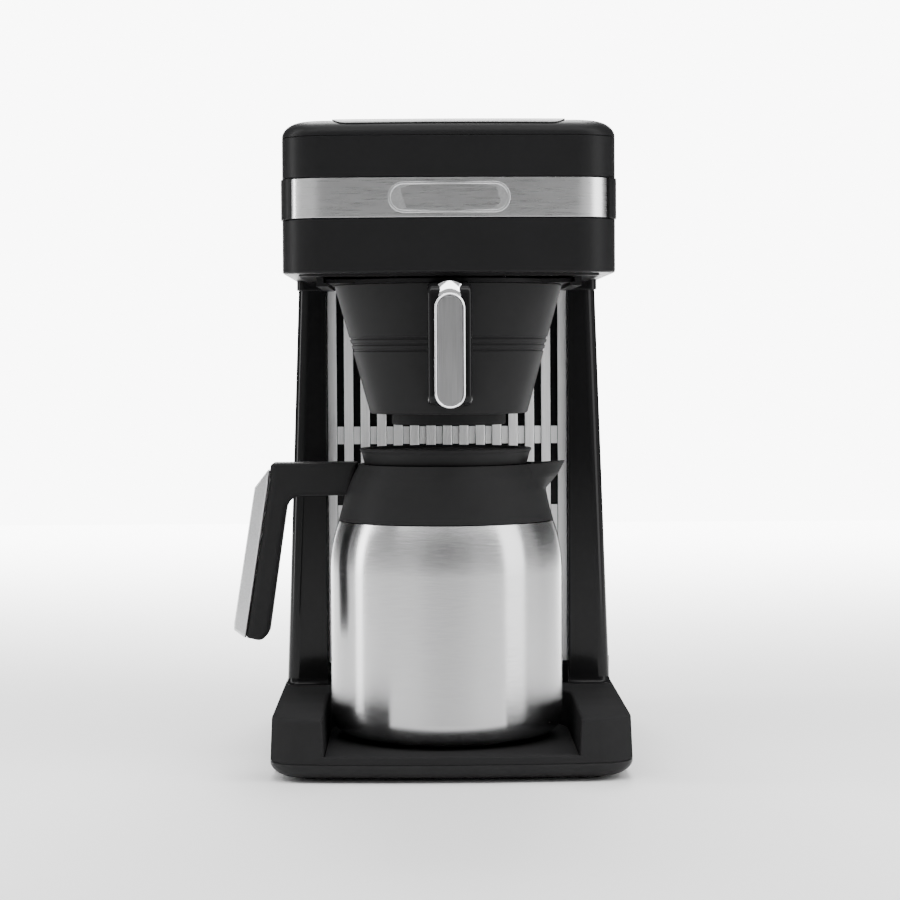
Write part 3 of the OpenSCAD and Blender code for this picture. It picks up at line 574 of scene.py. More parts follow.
def base_pan():
    rise = SEAM_Z - pan_lo.z - 0.5
    heights = [(PAN_EDGE_R + 6, pan_lo.z), (PAN_EDGE_R, pan_lo.z)]
    for angle in quarter_turn(10)[1:]:
        heights.append((PAN_EDGE_R * (1 - math.sin(angle)), pan_lo.z + rise * (1 - math.cos(angle))))
    heights += [(0.0, SEAM_Z - 0.35), (0.45, SEAM_Z - 0.05), (3.0, SEAM_Z)]
    add_mesh("base_pan_skin", *levels(base_plan, heights), deck_black, "housing",
             replaces=["base_pan"], slot="satin_black")


def bay_outline(grow=0.0):
    """The bay in the base's plan, open towards the front."""
    half = BAY_HALF + grow
    y0 = FRONT - 20
    y1 = BAY_BACK_Y + grow
    corners = [(-half, y0), (half, y0), (half, y1, BAY_BACK_R), (-half, y1, BAY_BACK_R)]
    return fillet(corners, step=6)


def u_outline(inset=0.0):
    """The deck's plan without its bay, as one outline."""
    outer = base_plan(0.0)
    start = next(i for i, p in enumerate(outer) if p[0] > BAY_HALF and p[1] < 0)
    ordered = outer[start:] + outer[:start]
    keep = [p for p in ordered if not (abs(p[0]) < BAY_HALF + 3 and p[1] < FRONT + 8)]
    bay = [p for p in bay_outline() if p[1] > FRONT]
    mouth = base_front_y(BAY_HALF)
    right = [p for p in bay if p[0] > 0]
    left = [p for p in bay if p[0] <= 0]
    path = keep + [(-BAY_HALF, mouth, BAY_MOUTH_R)]
    path += sorted(left, key=lambda p: (p[1], p[0]))
    path += sorted(right, key=lambda p: (-p[1], p[0]))
    path += [(BAY_HALF, mouth, BAY_MOUTH_R)]
    return corner_outline(path, inset, step=15)


def base_deck():
    heights = [(0.5, SEAM_Z + 0.05), (0.05, SEAM_Z + 0.5), (DECK_TAPER, DECK_Z - DECK_EDGE_R - 0.4)]
    for angle in quarter_turn(4)[1:]:
        inset = DECK_TAPER + DECK_EDGE_R * (1 - math.cos(angle))
        heights.append((inset, DECK_Z - DECK_EDGE_R * (1 - math.sin(angle))))
    blocks = levels(u_outline, heights)
    add_mesh("base_deck_skin", *joined(blocks, front_lip()), deck_gloss, "housing",
             replaces=["base_deck"], slot="gloss_black")


def front_lip():
    """The low strip that closes the bay's mouth and follows the base's crown."""
    half = BAY_HALF + 3
    xs = [-half + 2 * half * i / CROWN_STEPS for i in range(CROWN_STEPS + 1)]
    outline = [(x, base_front_y(x) + 0.02) for x in xs]
    outline += [(x, FRONT + LIP_DEPTH + 1.5) for x in reversed(xs)]
    return prism(outline, SEAM_Z + 0.05, LIP_Z, round_low=0.3, round_high=0.9)


def drip_plate():
    outline = [(u, max(v, FRONT + LIP_DEPTH + 0.8)) for u, v in bay_outline(-0.4)]
    parts = [prism(outline, plate_lo.z, LIP_Z, round_low=0, round_high=0.5)]
    turn = 360 / RING_PARTS
    for radius in RING_RADII:
        for k in range(RING_PARTS):
            start = turn * k + (turn - RING_PART_ANGLE) / 2
            end = start + RING_PART_ANGLE
            outline = arc(0, AXIS_Y, radius + RING_W, start, end, 12)
            outline += arc(0, AXIS_Y, radius, end, start, 12)
            parts.append(prism(outline, LIP_Z - 0.3, plate_hi.z, round_low=0, round_high=0.5))
    add_mesh("drip_plate_skin", *joined(*parts), deck_gloss, "housing",
             replaces=["drip_plate"], slot="gloss_black")


# ------------------------------------------------------------------ tower

TOWER_LOW = pillar_hi.x
TOWER_HIGH = 92.9
TOWER_TOP = pillar_hi.z
SLOT_X = 75.2
SLOT_R = 1.2
PILLAR_R = 7.5
SWITCH_HOLE = (18.4, 12.8)


def tower_half(z):
    """Half the tower's width at a height: it narrows upwards."""
    return TOWER_LOW + (TOWER_HIGH - TOWER_LOW) * (z - DECK_Z) / (TOWER_TOP - DECK_Z)


def pillar(side):
    y0, y1 = pillar_lo.y, pillar_hi.y
    foot = [(-2.0, 0.0), (-1.9, 0.5), (-1.0, 1.0), (-0.45, 1.8), (-0.1, 3.0), (0.0, 4.4)]
    rings = []
    for inset, up in foot + [(0.0, TOWER_TOP - DECK_Z)]:
        z = DECK_Z + up
        w = tower_half(z) - 0.15
        corners = [(SLOT_X, y0, SLOT_R), (w, y0, PILLAR_R), (w, y1, PILLAR_R), (SLOT_X, y1, SLOT_R)]
        shape = inset_outline(fillet(corners, step=9), inset)
        shape = [(min(u, TOWER_LOW + 0.4), min(v, y1)) for u, v in shape]
        rings.append([(side * u, v, z) for u, v in shape])
    name = "right" if side > 0 else "left"
    obj = add_mesh(f"pillar_{name}_skin", *loft(rings), gloss_black, "housing",
                   replaces=[f"pillar_{name}"], slot="gloss_black")
    if side > 0:
        cut_switch_hole(obj)


def cut_switch_hole(obj):
    lo, hi = box_mm("switch_bezel")
    y = (lo.y + hi.y) / 2
    z = (lo.z + hi.z) / 2
    w, h = SWITCH_HOLE[0] / 2, SWITCH_HOLE[1] / 2
    hole = [(y - w, z - h), (y + w, z - h), (y + w, z + h), (y - w, z + h)]
    cut(obj, loft([[(x, u, v) for u, v in hole] for x in (TOWER_LOW - 12, TOWER_LOW + 5)]))


BARS = 15
BAR_W = 5.7
BAR_DEPTH = 2.2
TILE_GAP = 0.7
OPEN_ROWS = ((148.6, 187.0), (198.0, TOWER_TOP + 3))


def decor_grille():
    """Upright bars, with tiles between them that leave the open rows free."""
    y0 = grille_lo.y
    y1 = y0 + BAR_DEPTH
    half = grille_hi.x
    pitch = (2 * half - BAR_W) / (BARS - 1)
    tile_w = pitch - BAR_W - TILE_GAP
    parts = []
    for i in range(BARS):
        x0 = -half + pitch * i
        x1 = x0 + BAR_W
        outline = fillet([(x0, y0, 0.5), (x1, y0, 0.5), (x1, y1), (x0, y1)], step=30)
        parts.append(prism(outline, grille_lo.z, grille_hi.z, round_low=0.3, round_high=0.3, steps=2))
    edges = [grille_lo.z] + [z for row in OPEN_ROWS for z in row] + [grille_hi.z]
    for low, high in zip(edges[::2], edges[1::2]):
        for i in range(BARS - 1):
            x = -half + (pitch + BAR_W) / 2 + pitch * i
            tile = rounded_rectangle(tile_w, high - low, 0.4, (x, (low + high) / 2))
            parts.append(prism(tile, y0 + 0.9, y0 + 1.9, "y", round_low=0.3, round_high=0, steps=2))
    add_mesh("decor_grille_skin", *joined(*parts), grille_steel, "housing",
             replaces=["decor_grille"], slot="stainless")


NECK_R = 5
NECK_WALL = 3.2


def neck_collar():
    z0, z1 = neck_lo.z, neck_hi.z
    corners = [(neck_lo.x, neck_lo.y, NECK_R), (neck_hi.x, neck_lo.y, NECK_R),
               (neck_hi.x, neck_hi.y, NECK_R), (neck_lo.x, neck_hi.y, NECK_R)]
    section = [(NECK_WALL, z1), (NECK_WALL, z0), (0.6, z0), (0.15, z0 + 0.2), (0, z0 + 0.6), (0, z1)]
    rings = [[(u, v, z) for u, v in corner_outline(corners, inset)] for inset, z in section]
    add_mesh("neck_collar_skin", *closed_loft(rings), gloss_black, "housing",
             replaces=["neck_collar"], slot="satin_black")


# ------------------------------------------------------------------ head

SPRAY_HOLE_R = 34
DUCT_HALF = 70
DUCT_FRONT_Y = grille_hi.y + 4
DUCT_BACK_Y = 156


def head_lower():
    z0 = head_lo.z
    z1 = belt_lo.z
    section = [(24.0, z0 + 1.4), (14.0, z0 + 1.4), (9.5, z0), (9.0, z0 + 0.3), (9.0, z0 + 1.6),
               (2.0, z0 + 1.6), (0.9, z0 + 1.7), (0.25, z0 + 2.2), (0.0, z0 + 3.0), (0.0, z1 - 0.5),
               (0.35, z1 - 0.1), (2.5, z1), (2.5, z0 + 4.1), (24.0, z0 + 4.1)]
    rings = [[(u, v, z) for u, v in head_plan(inset)] for inset, z in section]
    obj = add_mesh("head_lower_skin", *loft(rings, cap_low=False), satin_black, "housing",
                   replaces=["head_lower"], slot="satin_black")
    cut(obj, lathe([(SPRAY_HOLE_R, z0 - 4), (SPRAY_HOLE_R, z0 + 20)], (0, AXIS_Y), segments=96))
    duct = [(-DUCT_HALF, DUCT_FRONT_Y), (DUCT_HALF, DUCT_FRONT_Y), (DUCT_HALF, DUCT_BACK_Y),
            (-DUCT_HALF, DUCT_BACK_Y)]
    cut(obj, loft([[(u, v, z) for u, v in duct] for z in (z0 - 4, z0 + 12)]))


BAND_X = 90.4
BELT_PROUD = 0.8
BELT_SEAT = 0.6
BELT_LINING = 3.5


def in_band(point):
    return abs(point[0]) < BAND_X and point[1] < FRONT + 60


def belt():
    """The belt round the head, stepped back where the steel band lies over its front."""
    outer = head_plan(-BELT_PROUD)
    inner = head_plan(BELT_SEAT)
    deep = head_plan(BELT_LINING)
    path, lining = [], []
    was_in = in_band(outer[0])
    for i, point in enumerate(outer):
        here = in_band(point)
        if here != was_in:
            path.append(inner[i])
            lining.append(deep[i])
        path.append(inner[i] if here else point)
        lining.append(deep[i])
        was_in = here
    z0, z1 = belt_lo.z + 0.15, belt_hi.z - 0.15
    section = [(0.35, z0), (0.1, z0 + 0.1), (0, z0 + 0.35), (0, z1 - 0.35), (0.1, z1 - 0.1), (0.35, z1)]
    rings = [[(u, v, z0) for u, v in lining]]
    rings += [[(u, v, z) for u, v in inset_outline(path, inset)] for inset, z in section]
    rings.append([(u, v, z1) for u, v in lining])
    add_mesh("belt_skin", *closed_loft(rings), satin_black, "housing",
             replaces=["belt"], slot="satin_black")


def front_band():
    outer = [p for p in head_plan(-0.2) if in_band(p)]
    inner = [p for p in head_plan(0.8) if in_band(p)]
    outline = outer + inner[::-1]
    add_mesh("front_band_skin",
             *prism(outline, band_lo.z, band_hi.z, round_low=0.25, round_high=0.25, steps=2),
             band_steel, "housing", replaces=["front_band"], slot="stainless")


def badge():
    """A blank badge with a raised rim, bent along the head's front."""
    w = badge_hi.x - badge_lo.x
    h = badge_hi.z - badge_lo.z
    centre = (0, (badge_hi.z + badge_lo.z) / 2)
    profile = [(0, 0.2), (0, -0.45), (0.15, -0.62), (0.5, -0.7), (1.1, -0.7), (1.45, -0.55), (1.6, -0.3),
               (2.2, -0.3)]
    rings = []
    for inset, depth in profile:
        outline = rounded_rectangle(w - 2 * inset, h - 2 * inset, h / 2 - inset - LEAST_R, centre)
        rings.append([(u, head_front_y(u) + depth, v) for u, v in outline])
    add_mesh("badge_skin", *loft(rings), silver_paint, "housing", replaces=["badge"], slot="silver_plastic")


def head_upper():
    z0, z1 = upper_lo.z, upper_hi.z
    heights = [(2.5, z0), (0.35, z0 + 0.1), (0.0, z0 + 0.5), (0.0, z1 - 0.5), (0.3, z1 - 0.12), (2.5, z1)]
    rings = [[(u, v, z) for u, v in head_plan(inset)] for inset, z in heights]
    add_mesh("head_upper_skin", *closed_loft(rings), satin_black, "housing",
             replaces=["head_upper"], slot="satin_black")


SHOULDER_Z = upper_hi.z
DOME_H = top_hi.z - SHOULDER_Z
DOME_INSET = 13.0
DOME_WALL = 2.5
LID_STEP = 0.7
LID_FRONT_GAP = 4.4
LID_BACK_Y = 48.0
LID_GAP = 0.7
LID_R = 8
LID_CROWN_HALF = 77.0


def dome_shell(drop=0.0, steps=14):
    """The head's domed top and the hollow under it, with the flat lowered by drop."""
    rise = DOME_H - drop
    rings = [[(u, v, SHOULDER_Z) for u, v in head_plan(0.3)]]
    under = []
    for angle in quarter_turn(steps):
        inset = DOME_INSET * (1 - math.cos(angle))
        z = SHOULDER_Z + 0.15 + (rise - 0.15) * math.sin(angle)
        rings.append([(u, v, z) for u, v in head_plan(inset)])
        z = SHOULDER_Z - DOME_WALL + rise * math.sin(angle)
        under.append([(u, v, z) for u, v in head_plan(DOME_WALL + inset)])
    return loft(rings), loft(under)


def lid_crown(x):
    """How far the lid's front edge falls back at x from the middle."""
    return HEAD_CROWN * (x / LID_CROWN_HALF) ** 2


def lid_outline(grow=0.0):
    """The fill lid's plan, with rounded corners at its crowned front."""
    x = lid_hi.x + grow
    y0 = FRONT + LID_FRONT_GAP - grow
    y1 = LID_BACK_Y + grow
    corners = [(-x, y0, LID_R + grow), (x, y0, LID_R + grow), (x, y1, 0.6), (-x, y1, 0.6)]
    shape = [(u, v + (0.0 if v > 0 else lid_crown(u))) for u, v in fillet(corners, step=9)]
    return crowned_front(shape)


def crowned_front(outline, count=20):
    """The outline with points added along its one long front edge, so that it follows the crown."""
    out = []
    for a, b in zip(outline, outline[1:] + outline[:1]):
        out.append(a)
        if abs(b[0] - a[0]) > lid_hi.x and a[1] < 0:
            for k in range(1, count):
                u = a[0] + (b[0] - a[0]) * k / count
                out.append((u, a[1] - lid_crown(a[0]) + lid_crown(u)))
    return out


def tall(outline, low, high):
    """An upright block for cutting, without rounded edges."""
    return loft([[(u, v, z) for u, v in outline] for z in (low, high)])


HINGE_Y = 50.5
HINGE_Z = top_hi.z - 2.6
BARREL_R = 2.4
BARREL_X = (-49.0, -14.0, 14.0, 49.0)
LUG_X = (-60.0, 0.0, 60.0)
SLOT_HALF = lid_hi.x + 1
SLOT_FRONT_Y = LID_BACK_Y - 1
SLOT_BACK_Y = HINGE_Y + 3.4
PAD_Y = 30.0


def top_frame():
    top, hollow = dome_shell(LID_STEP)
    obj = add_mesh("top_frame_skin", *top, satin_black, "housing",
                   replaces=["top_frame"], slot="satin_black")
    cut(obj, hollow)
    cut(obj, tall(lid_outline(LID_GAP), SHOULDER_Z + 1, SHOULDER_Z + 30))
    slot_plan = [(-SLOT_HALF, SLOT_FRONT_Y), (SLOT_HALF, SLOT_FRONT_Y), (SLOT_HALF, SLOT_BACK_Y),
                 (-SLOT_HALF, SLOT_BACK_Y)]
    cut(obj, tall(slot_plan, SHOULDER_Z - 4, SHOULDER_Z + 30))


def barrel(x, half):
    """One barrel of the lid's hinge, centred on x."""
    outline = arc(HINGE_Y, HINGE_Z, BARREL_R, 0, 337.5, 15)
    return prism(outline, x - half, x + half, "x", round_low=0.3, round_high=0.3, steps=2)


def fill_lid():
    top, hollow = dome_shell()
    obj = add_mesh("fill_lid_skin", *top, lid_black, "top_lid", replaces=["fill_lid"], slot="satin_black")
    cut(obj, hollow)
    keep_inside(obj, tall(lid_outline(), SHOULDER_Z + 1, SHOULDER_Z + 30))
    z = top_hi.z
    tab = fillet([(46.0, z - 2.4), (HINGE_Y, z - 2.4), (HINGE_Y + 1, HINGE_Z + 2.1, 1.0),
                  (46.0, HINGE_Z + 2.2)], step=15)
    parts = []
    for x in BARREL_X:
        parts.append(barrel(x, 6))
        parts.append(prism(tab, x - 5.8, x + 5.8, "x", round_low=0.2, round_high=0.2, steps=2))
    parts.append(lathe([(0, z - 4.9), (4.4, z - 4.9), (5, z - 4.4), (5, z - 2.0), (0, z - 2.0)],
                       (0, PAD_Y), segments=48))
    add_mesh("fill_lid_barrels", *joined(*parts), lid_black, "top_lid", slot="satin_black")


def hinge_lugs():
    foot = top_hi.z - 9
    rail = rounded_rectangle(136, 3.4, 0.6, (0, SLOT_BACK_Y + 2.2))
    parts = [prism(rail, foot, top_hi.z - 2.4, round_low=0.3, round_high=0)]
    web = [(HINGE_Y - 1.8, foot), (SLOT_BACK_Y + 1, foot), (SLOT_BACK_Y + 1, HINGE_Z - 1.5),
           (HINGE_Y - 1.8, HINGE_Z - 1.5)]
    for x in LUG_X:
        parts.append(barrel(x, 3))
        parts.append(prism(web, x - 3, x + 3, "x", round_low=0.2, round_high=0.2, steps=2))
    add_mesh("hinge_lugs", *joined(*parts), satin_black, "housing", slot="satin_black")


# ------------------------------------------------------------------ brew funnel

CONE_LOW_R = 46.7
CONE_WALL = 2
DRAIN_R = 6.2
GROOVES = 3
GROOVE_UP = 36.6
GROOVE_PITCH = 3.5
GROOVE_DEPTH = 0.7


def funnel_cone():
    z0, z1 = cone_lo.z, cone_hi.z
    high_r = (cone_hi.x - cone_lo.x) / 2

    def r(z):
        return CONE_LOW_R + (high_r - CONE_LOW_R) * (z - z0) / (z1 - z0)

    outside = [(DRAIN_R, z0), (CONE_LOW_R - 1.2, z0), (CONE_LOW_R - 0.35, z0 + 0.3),
               (r(z0 + 1.2), z0 + 1.2)]
    for k in range(GROOVES):
        z = z0 + GROOVE_UP + GROOVE_PITCH * k
        outside += [(r(z) - 0.05, z), (r(z + 0.25) - GROOVE_DEPTH, z + 0.25),
                    (r(z + 1.45) - GROOVE_DEPTH, z + 1.45), (r(z + 1.7) - 0.05, z + 1.7)]
    outside += [(high_r, z1 - 0.6), (high_r - 0.4, z1)]
    inside = [(high_r - CONE_WALL, z1), (r(z0 + 4) - CONE_WALL, z0 + 4),
              (r(z0 + 3) - 2 * CONE_WALL, z0 + 3), (DRAIN_R, z0 + 3)]
    shape = lathe(outside + inside, (0, AXIS_Y), closed=True, segments=160)
    add_mesh("funnel_cone_skin", *shape, soft_black, "funnel", smooth=28,
             replaces=["funnel_cone"], slot="satin_black")


def funnel_outlet():
    z0, z1 = outlet_lo.z, outlet_hi.z
    r = (outlet_hi.x - outlet_lo.x) / 2
    inner = r - CONE_WALL
    profile = fillet([(inner, z0, 0.4), (r, z0, 0.8), (r, z1), (6, z1), (6, z1 - 1.8), (inner, z1 - 1.8)],
                     step=30)
    add_mesh("funnel_outlet_skin", *lathe(profile, (0, AXIS_Y), closed=True), soft_black, "funnel",
             replaces=["funnel_outlet"], slot="satin_black")


def funnel_handle():
    """The bow grip, from its foot at the cone's wall round the finger gap to its top at the rim."""
    z0, z1 = grip_lo.z, grip_hi.z
    front = grip_lo.y
    inner = front + 9.5
    half = (grip_hi.x - grip_lo.x) / 2
    back_top = AXIS_Y - 62
    back_low = AXIS_Y - 44
    outline = [(front, z0 + 3, 5), (front, z1 - 2, 7), (back_top, z1), (back_top, z1 - 10.5),
               (inner, z1 - 10.5, 4), (inner, z0 + 10.6, 4), (back_low - 3, z0 + 10.6), (back_low, z0 + 1)]
    shape = prism(outline, -half, half, "x", round_low=2.6, round_high=2.6, steps=5, corners=True)
    add_mesh("funnel_handle_skin", *shape, gloss_black, "funnel",
             replaces=["funnel_handle"], slot="gloss_black")


BEZEL_H = 65.4
BEZEL_W = bezel_hi.x - bezel_lo.x
BEZEL_Z = bezel_lo.z + BEZEL_H / 2
BEZEL_Y = bezel_lo.y + 1.7
INSERT_INSET = 1.6


def oval(inset):
    """The bezel's tall oval, moved inwards."""
    w = BEZEL_W - 2 * inset
    h = BEZEL_H - 2 * inset
    return rounded_rectangle(w, h, BEZEL_W / 2 - inset - LEAST_R, (0, BEZEL_Z))


def funnel_bezel():
    profile = [(0.0, 0.8), (0.0, -0.9), (0.25, -1.4), (0.75, -1.7), (1.2, -1.5), (1.5, -0.9), (1.5, 0.8)]
    rings = [[(u, BEZEL_Y + depth, v) for u, v in oval(inset)] for inset, depth in profile]
    add_mesh("funnel_bezel_skin", *joined(closed_loft(rings), bezel_trim()), chrome, "funnel",
             smooth=50, replaces=["funnel_bezel"], slot="chrome")
    plate = prism(oval(INSERT_INSET), BEZEL_Y - 1.0, BEZEL_Y + 0.8, "y", round_low=0.3, round_high=0)
    add_mesh("funnel_insert_skin", *plate, brushed_insert, "funnel",
             replaces=["funnel_insert"], slot="silver_plastic")


def bezel_trim(rows=9, columns=17, thick=1.2):
    """The bright trim over the top of the grip: it widens upward to an arched edge and leans back."""
    low = BEZEL_Z + BEZEL_H / 2 - 2.0
    rise = grip_hi.z - 0.4 - low
    shell = []
    for k in range(rows):
        up = k / (rows - 1)
        half = 6.2 + 2.5 * up
        lean = 4.0 * up ** 1.6
        row = []
        for j in range(columns):
            across = -1 + 2 * j / (columns - 1)
            drop = (0.4 + 3.2 * up) * across ** 2
            y = BEZEL_Y - 1.6 + lean + 1.3 * across ** 2
            row.append((half * across, y, low + rise * up - drop))
        back = [(x, y + thick, z - 0.3) for x, y, z in row]
        shell.append(row + back[::-1])
    return loft(shell)


# ------------------------------------------------------------------ carafe

FLASK_Z = flask_lo.z - 1
FLASK_FOOT_R = 54.9
FLASK_EDGE_R = 13
FLASK_WALL = 1
SHOULDER_UP = 98
SHOULDER_REACH = 27
SHOULDER_RISE = 51
SHOULDER_ANGLE = 36


def carafe_shell():
    r = FLASK_R
    z0 = flask_lo.z
    shoulder = FLASK_Z + SHOULDER_UP
    profile = [(FLASK_FOOT_R, z0), (56, z0 + 0.1)]
    for k in range(11):
        angle = math.radians(-90 + 9 * k)
        radius = r - FLASK_EDGE_R * (1 - math.cos(angle))
        profile.append((radius, z0 + FLASK_EDGE_R * (1 + math.sin(angle))))
    profile += [(r, FLASK_Z + 40), (r, FLASK_Z + 70), (r, shoulder)]
    for k in range(1, 10):
        angle = math.radians(SHOULDER_ANGLE * k / 9)
        radius = r - SHOULDER_REACH * (1 - math.cos(angle))
        profile.append((radius, shoulder + SHOULDER_RISE * math.sin(angle)))
    inside = []
    for radius, z in reversed(profile):
        up = FLASK_WALL if z < z0 + 12 else 0
        inside.append((max(radius - FLASK_WALL, FLASK_FOOT_R), z + up))
    shape = lathe(profile + inside, (FLASK_X, AXIS_Y), closed=True, segments=192)
    add_mesh("carafe_shell_skin", *shape, brushed_steel, "carafe",
             replaces=["carafe_shell"], slot="stainless")


COLLAR_TOP = FLASK_Z + 161.7
COLLAR_TOP_R = 52.3
SPOUT_LOW = FLASK_Z + 146.5
SPOUT_TIP_R = 71.0
SPOUT_ANGLE = 25


def spout_point(radius, z, angle):
    """A point of the collar at an angle from the spout's middle, drawn out into the spout near the top."""
    turn = math.degrees(angle if angle < math.pi else angle - math.tau)
    rise = max(0.0, (z - SPOUT_LOW) / (COLLAR_TOP - SPOUT_LOW))
    pull = max(0.0, 1 - abs(turn) / SPOUT_ANGLE) ** 1.15
    reach = radius + (SPOUT_TIP_R - COLLAR_TOP_R) * rise * pull
    lift = 1.6 * pull ** 2 * max(0.0, (rise - 0.75) * 4)
    return FLASK_X + reach * math.cos(angle), AXIS_Y + reach * math.sin(angle), z + lift


def carafe_collar(segments=240):
    z0 = collar_lo.z
    z1 = COLLAR_TOP
    outside = fillet([(63.9, z0 + 0.2, 0.4), (61.9, FLASK_Z + 135.4, 30), (59.6, FLASK_Z + 146.3, 30),
                      (56.2, FLASK_Z + 155, 20), (COLLAR_TOP_R, z1, 0.6)], closed=False, step=4)
    inside = [(50.4, z1), (48.9, z1 - 1.2), (48.6, z1 - 4), (46.6, z1 - 12), (46.6, z0 + 8), (50.6, z0 + 8)]
    rings = []
    for radius, z in [(50.6, z0 + 0.2)] + outside + inside:
        rings.append([spout_point(radius, z, math.tau * i / segments) for i in range(segments)])
    add_mesh("carafe_collar_skin", *closed_loft(rings), soft_black, "carafe", smooth=38,
             replaces=["carafe_collar"], slot="satin_black")


LID_NECK_R = 45
LID_TOP_R = 51.0
LID_WELL_R = 41


def carafe_lid():
    low = stopper_lo.z
    z0 = FLASK_Z + 162.0
    z1 = stopper_hi.z
    outside = fillet([(LID_NECK_R, low, 1), (LID_NECK_R, z0), (48.3, z0, 0.4), (50.2, z1 - 2.4, 3),
                      (LID_TOP_R, z1 - 1.4, 0.4), (LID_TOP_R, z1, 0.6), (49.2, z1, 0.5)],
                     closed=False, step=15)
    dish = [(48.2, z1 - 1.6), (44, z1 - 2.2), (30, z1 - 4.6), (15, z1 - 6.0), (7.6, z1 - 6.2),
            (7.5, z1 - 10), (LID_WELL_R, z1 - 10), (LID_WELL_R, low), (LID_NECK_R, low)]
    shape = lathe(outside + dish, (FLASK_X, AXIS_Y), closed=True, segments=160)
    add_mesh("carafe_lid_skin", *shape, soft_black, "stopper", replaces=["carafe_lid"], slot="satin_black")


def flask_xz(points):
    """Corners given from the flask's axis and foot, moved to their place."""
    return [(p[0] + FLASK_X, p[1] + FLASK_Z, *p[2:]) for p in points]


def carafe_handle():
    low, high = 2 * AXIS_Y - handle_hi.y, handle_hi.y
    grip = flask_xz([
        (-57.5, 143.4), (-52.5, 162.9, 0.5), (-103.8, 162.9, 2.5), (-104.2, 152.6, 3),
        (-117.4, 68.6, 2), (-119.0, 59.2, 1.5), (-110.0, 57.1, 5), (-105.4, 61.8, 5),
        (-94.8, 134.8, 12), (-93.4, 143.4, 10)])
    shape = prism(grip, low, high, "y", round_low=3.2, round_high=3.2, steps=6, corners=True)
    add_mesh("carafe_handle_skin", *shape, soft_black, "carafe",
             replaces=["carafe_handle"], slot="satin_black")
    cap = flask_xz([
        (-104.2, 160.3, 0.8), (-113.3, 148.4, 1.0), (-126.0, 67.8, 1.5), (-126.2, 64.0, 1),
        (-119.2, 58.8, 0.6), (-117.7, 68.3, 0.5), (-104.8, 151.8, 2)])
    shape = prism(cap, low + 0.6, high - 0.6, "y", round_low=1.6, round_high=1.6, steps=4, corners=True)
    add_mesh("carafe_grip_cap_skin", *shape, silver_paint, "carafe",
             replaces=["carafe_grip_cap"], slot="silver_plastic")


# ------------------------------------------------------------------ CAD pieces that show as they are

WELD_DISTANCE = 0.00001


def finish_cad_nodes():
    slots = {part["node"]: part["material_slot"] for part in frame["record"]["subparts"]}
    for name, obj in frame["nodes"].items():
        obj.data.materials.clear()
        obj.data.materials.append(SLOT_MATERIALS[slots[name]])
        for polygon in obj.data.polygons:
            polygon.use_smooth = True
        weld = obj.modifiers.new("weld", "WELD")
        weld.merge_threshold = WELD_DISTANCE
        split = obj.modifiers.new("split", "EDGE_SPLIT")
        split.split_angle = math.radians(HARD_EDGE)


# ------------------------------------------------------------------ studio

def light(name, size, power, place, target):
    data = bpy.data.lights.new(name, "AREA")
    data.shape = "RECTANGLE"
    data.size, data.size_y = size
    data.energy = power
    obj = bpy.data.objects.new(name, data)
    bpy.context.collection.objects.link(obj)
    obj.location = place
    obj.rotation_euler = (Vector(target) - Vector(place)).to_track_quat("-Z", "Y").to_euler()


def floor_card(size, place, tone):
    """A flat stage floor with its middle at place."""
    mesh = bpy.data.meshes.new("floor")
    w, h = size[0] / 2, size[1] / 2
    mesh.from_pydata([(-w, -h, 0), (w, -h, 0), (w, h, 0), (-w, h, 0)], [], [(0, 1, 2, 3)])
    obj = bpy.data.objects.new("floor", mesh)
    bpy.context.collection.objects.link(obj)
    mat = bpy.data.materials.new("floor")
    _, bsdf = nodes_of(mat)
    bsdf.inputs["Base Color"].default_value = (*tone, 1)
    bsdf.inputs["Roughness"].default_value = 0.9
    glow_to_the_back(mat)
    mesh.materials.append(mat)
    obj.location = place


def math_node(tree, operation, value, *numbers):
    """The result of a maths node on value, with numbers as its other inputs."""
    node = tree.nodes.new("ShaderNodeMath")
    node.operation = operation
    tree.links.new(value, node.inputs[0])
    for socket, number in zip(node.inputs[1:], numbers):
        socket.default_value = number
    return node.outputs["Value"]


def smooth_step(tree, value, start, end, low, high):
    """Goes smoothly from low to high while value goes from start to end."""
    node = tree.nodes.new("ShaderNodeMapRange")
    node.interpolation_type = "SMOOTHSTEP"
    for key, number in (("From Min", start), ("From Max", end), ("To Min", low), ("To Max", high)):
        node.inputs[key].default_value = number
    tree.links.new(value, node.inputs["Value"])
    return node.outputs["Result"]


def glow_to_the_back(mat, strength=7.5):
    """Lets the floor grow into the white backdrop behind the object, with no line between them."""
    tree, bsdf = nodes_of(mat)
    coord = tree.nodes.new("ShaderNodeTexCoord")
    split = tree.nodes.new("ShaderNodeSeparateXYZ")
    tree.links.new(coord.outputs["Object"], split.inputs["Vector"])
    aside = math_node(tree, "ABSOLUTE", split.outputs["X"])
    both = math_node(tree, "MULTIPLY", smooth_step(tree, split.outputs["Y"], 0.95, 3.0, 0, strength))
    tree.links.new(smooth_step(tree, aside, 0.7, 1.2, 1, 0), both.node.inputs[1])
    tree.links.new(both, bsdf.inputs["Emission Strength"])
    bsdf.inputs["Emission Color"].default_value = (1, 1, 1, 1)


# The room's light from the camera's side (-1) to the backdrop (+1), as (direction's Y, strength)
ROOM = [(-1.0, 0.05), (-0.95, 0.08), (-0.85, 0.55), (-0.10, 0.60), (0.12, 0.60), (0.36, 0.06),
        (0.86, 0.06), (0.93, 0.60), (0.975, 9.0)]
ROOM_SCALE = 10


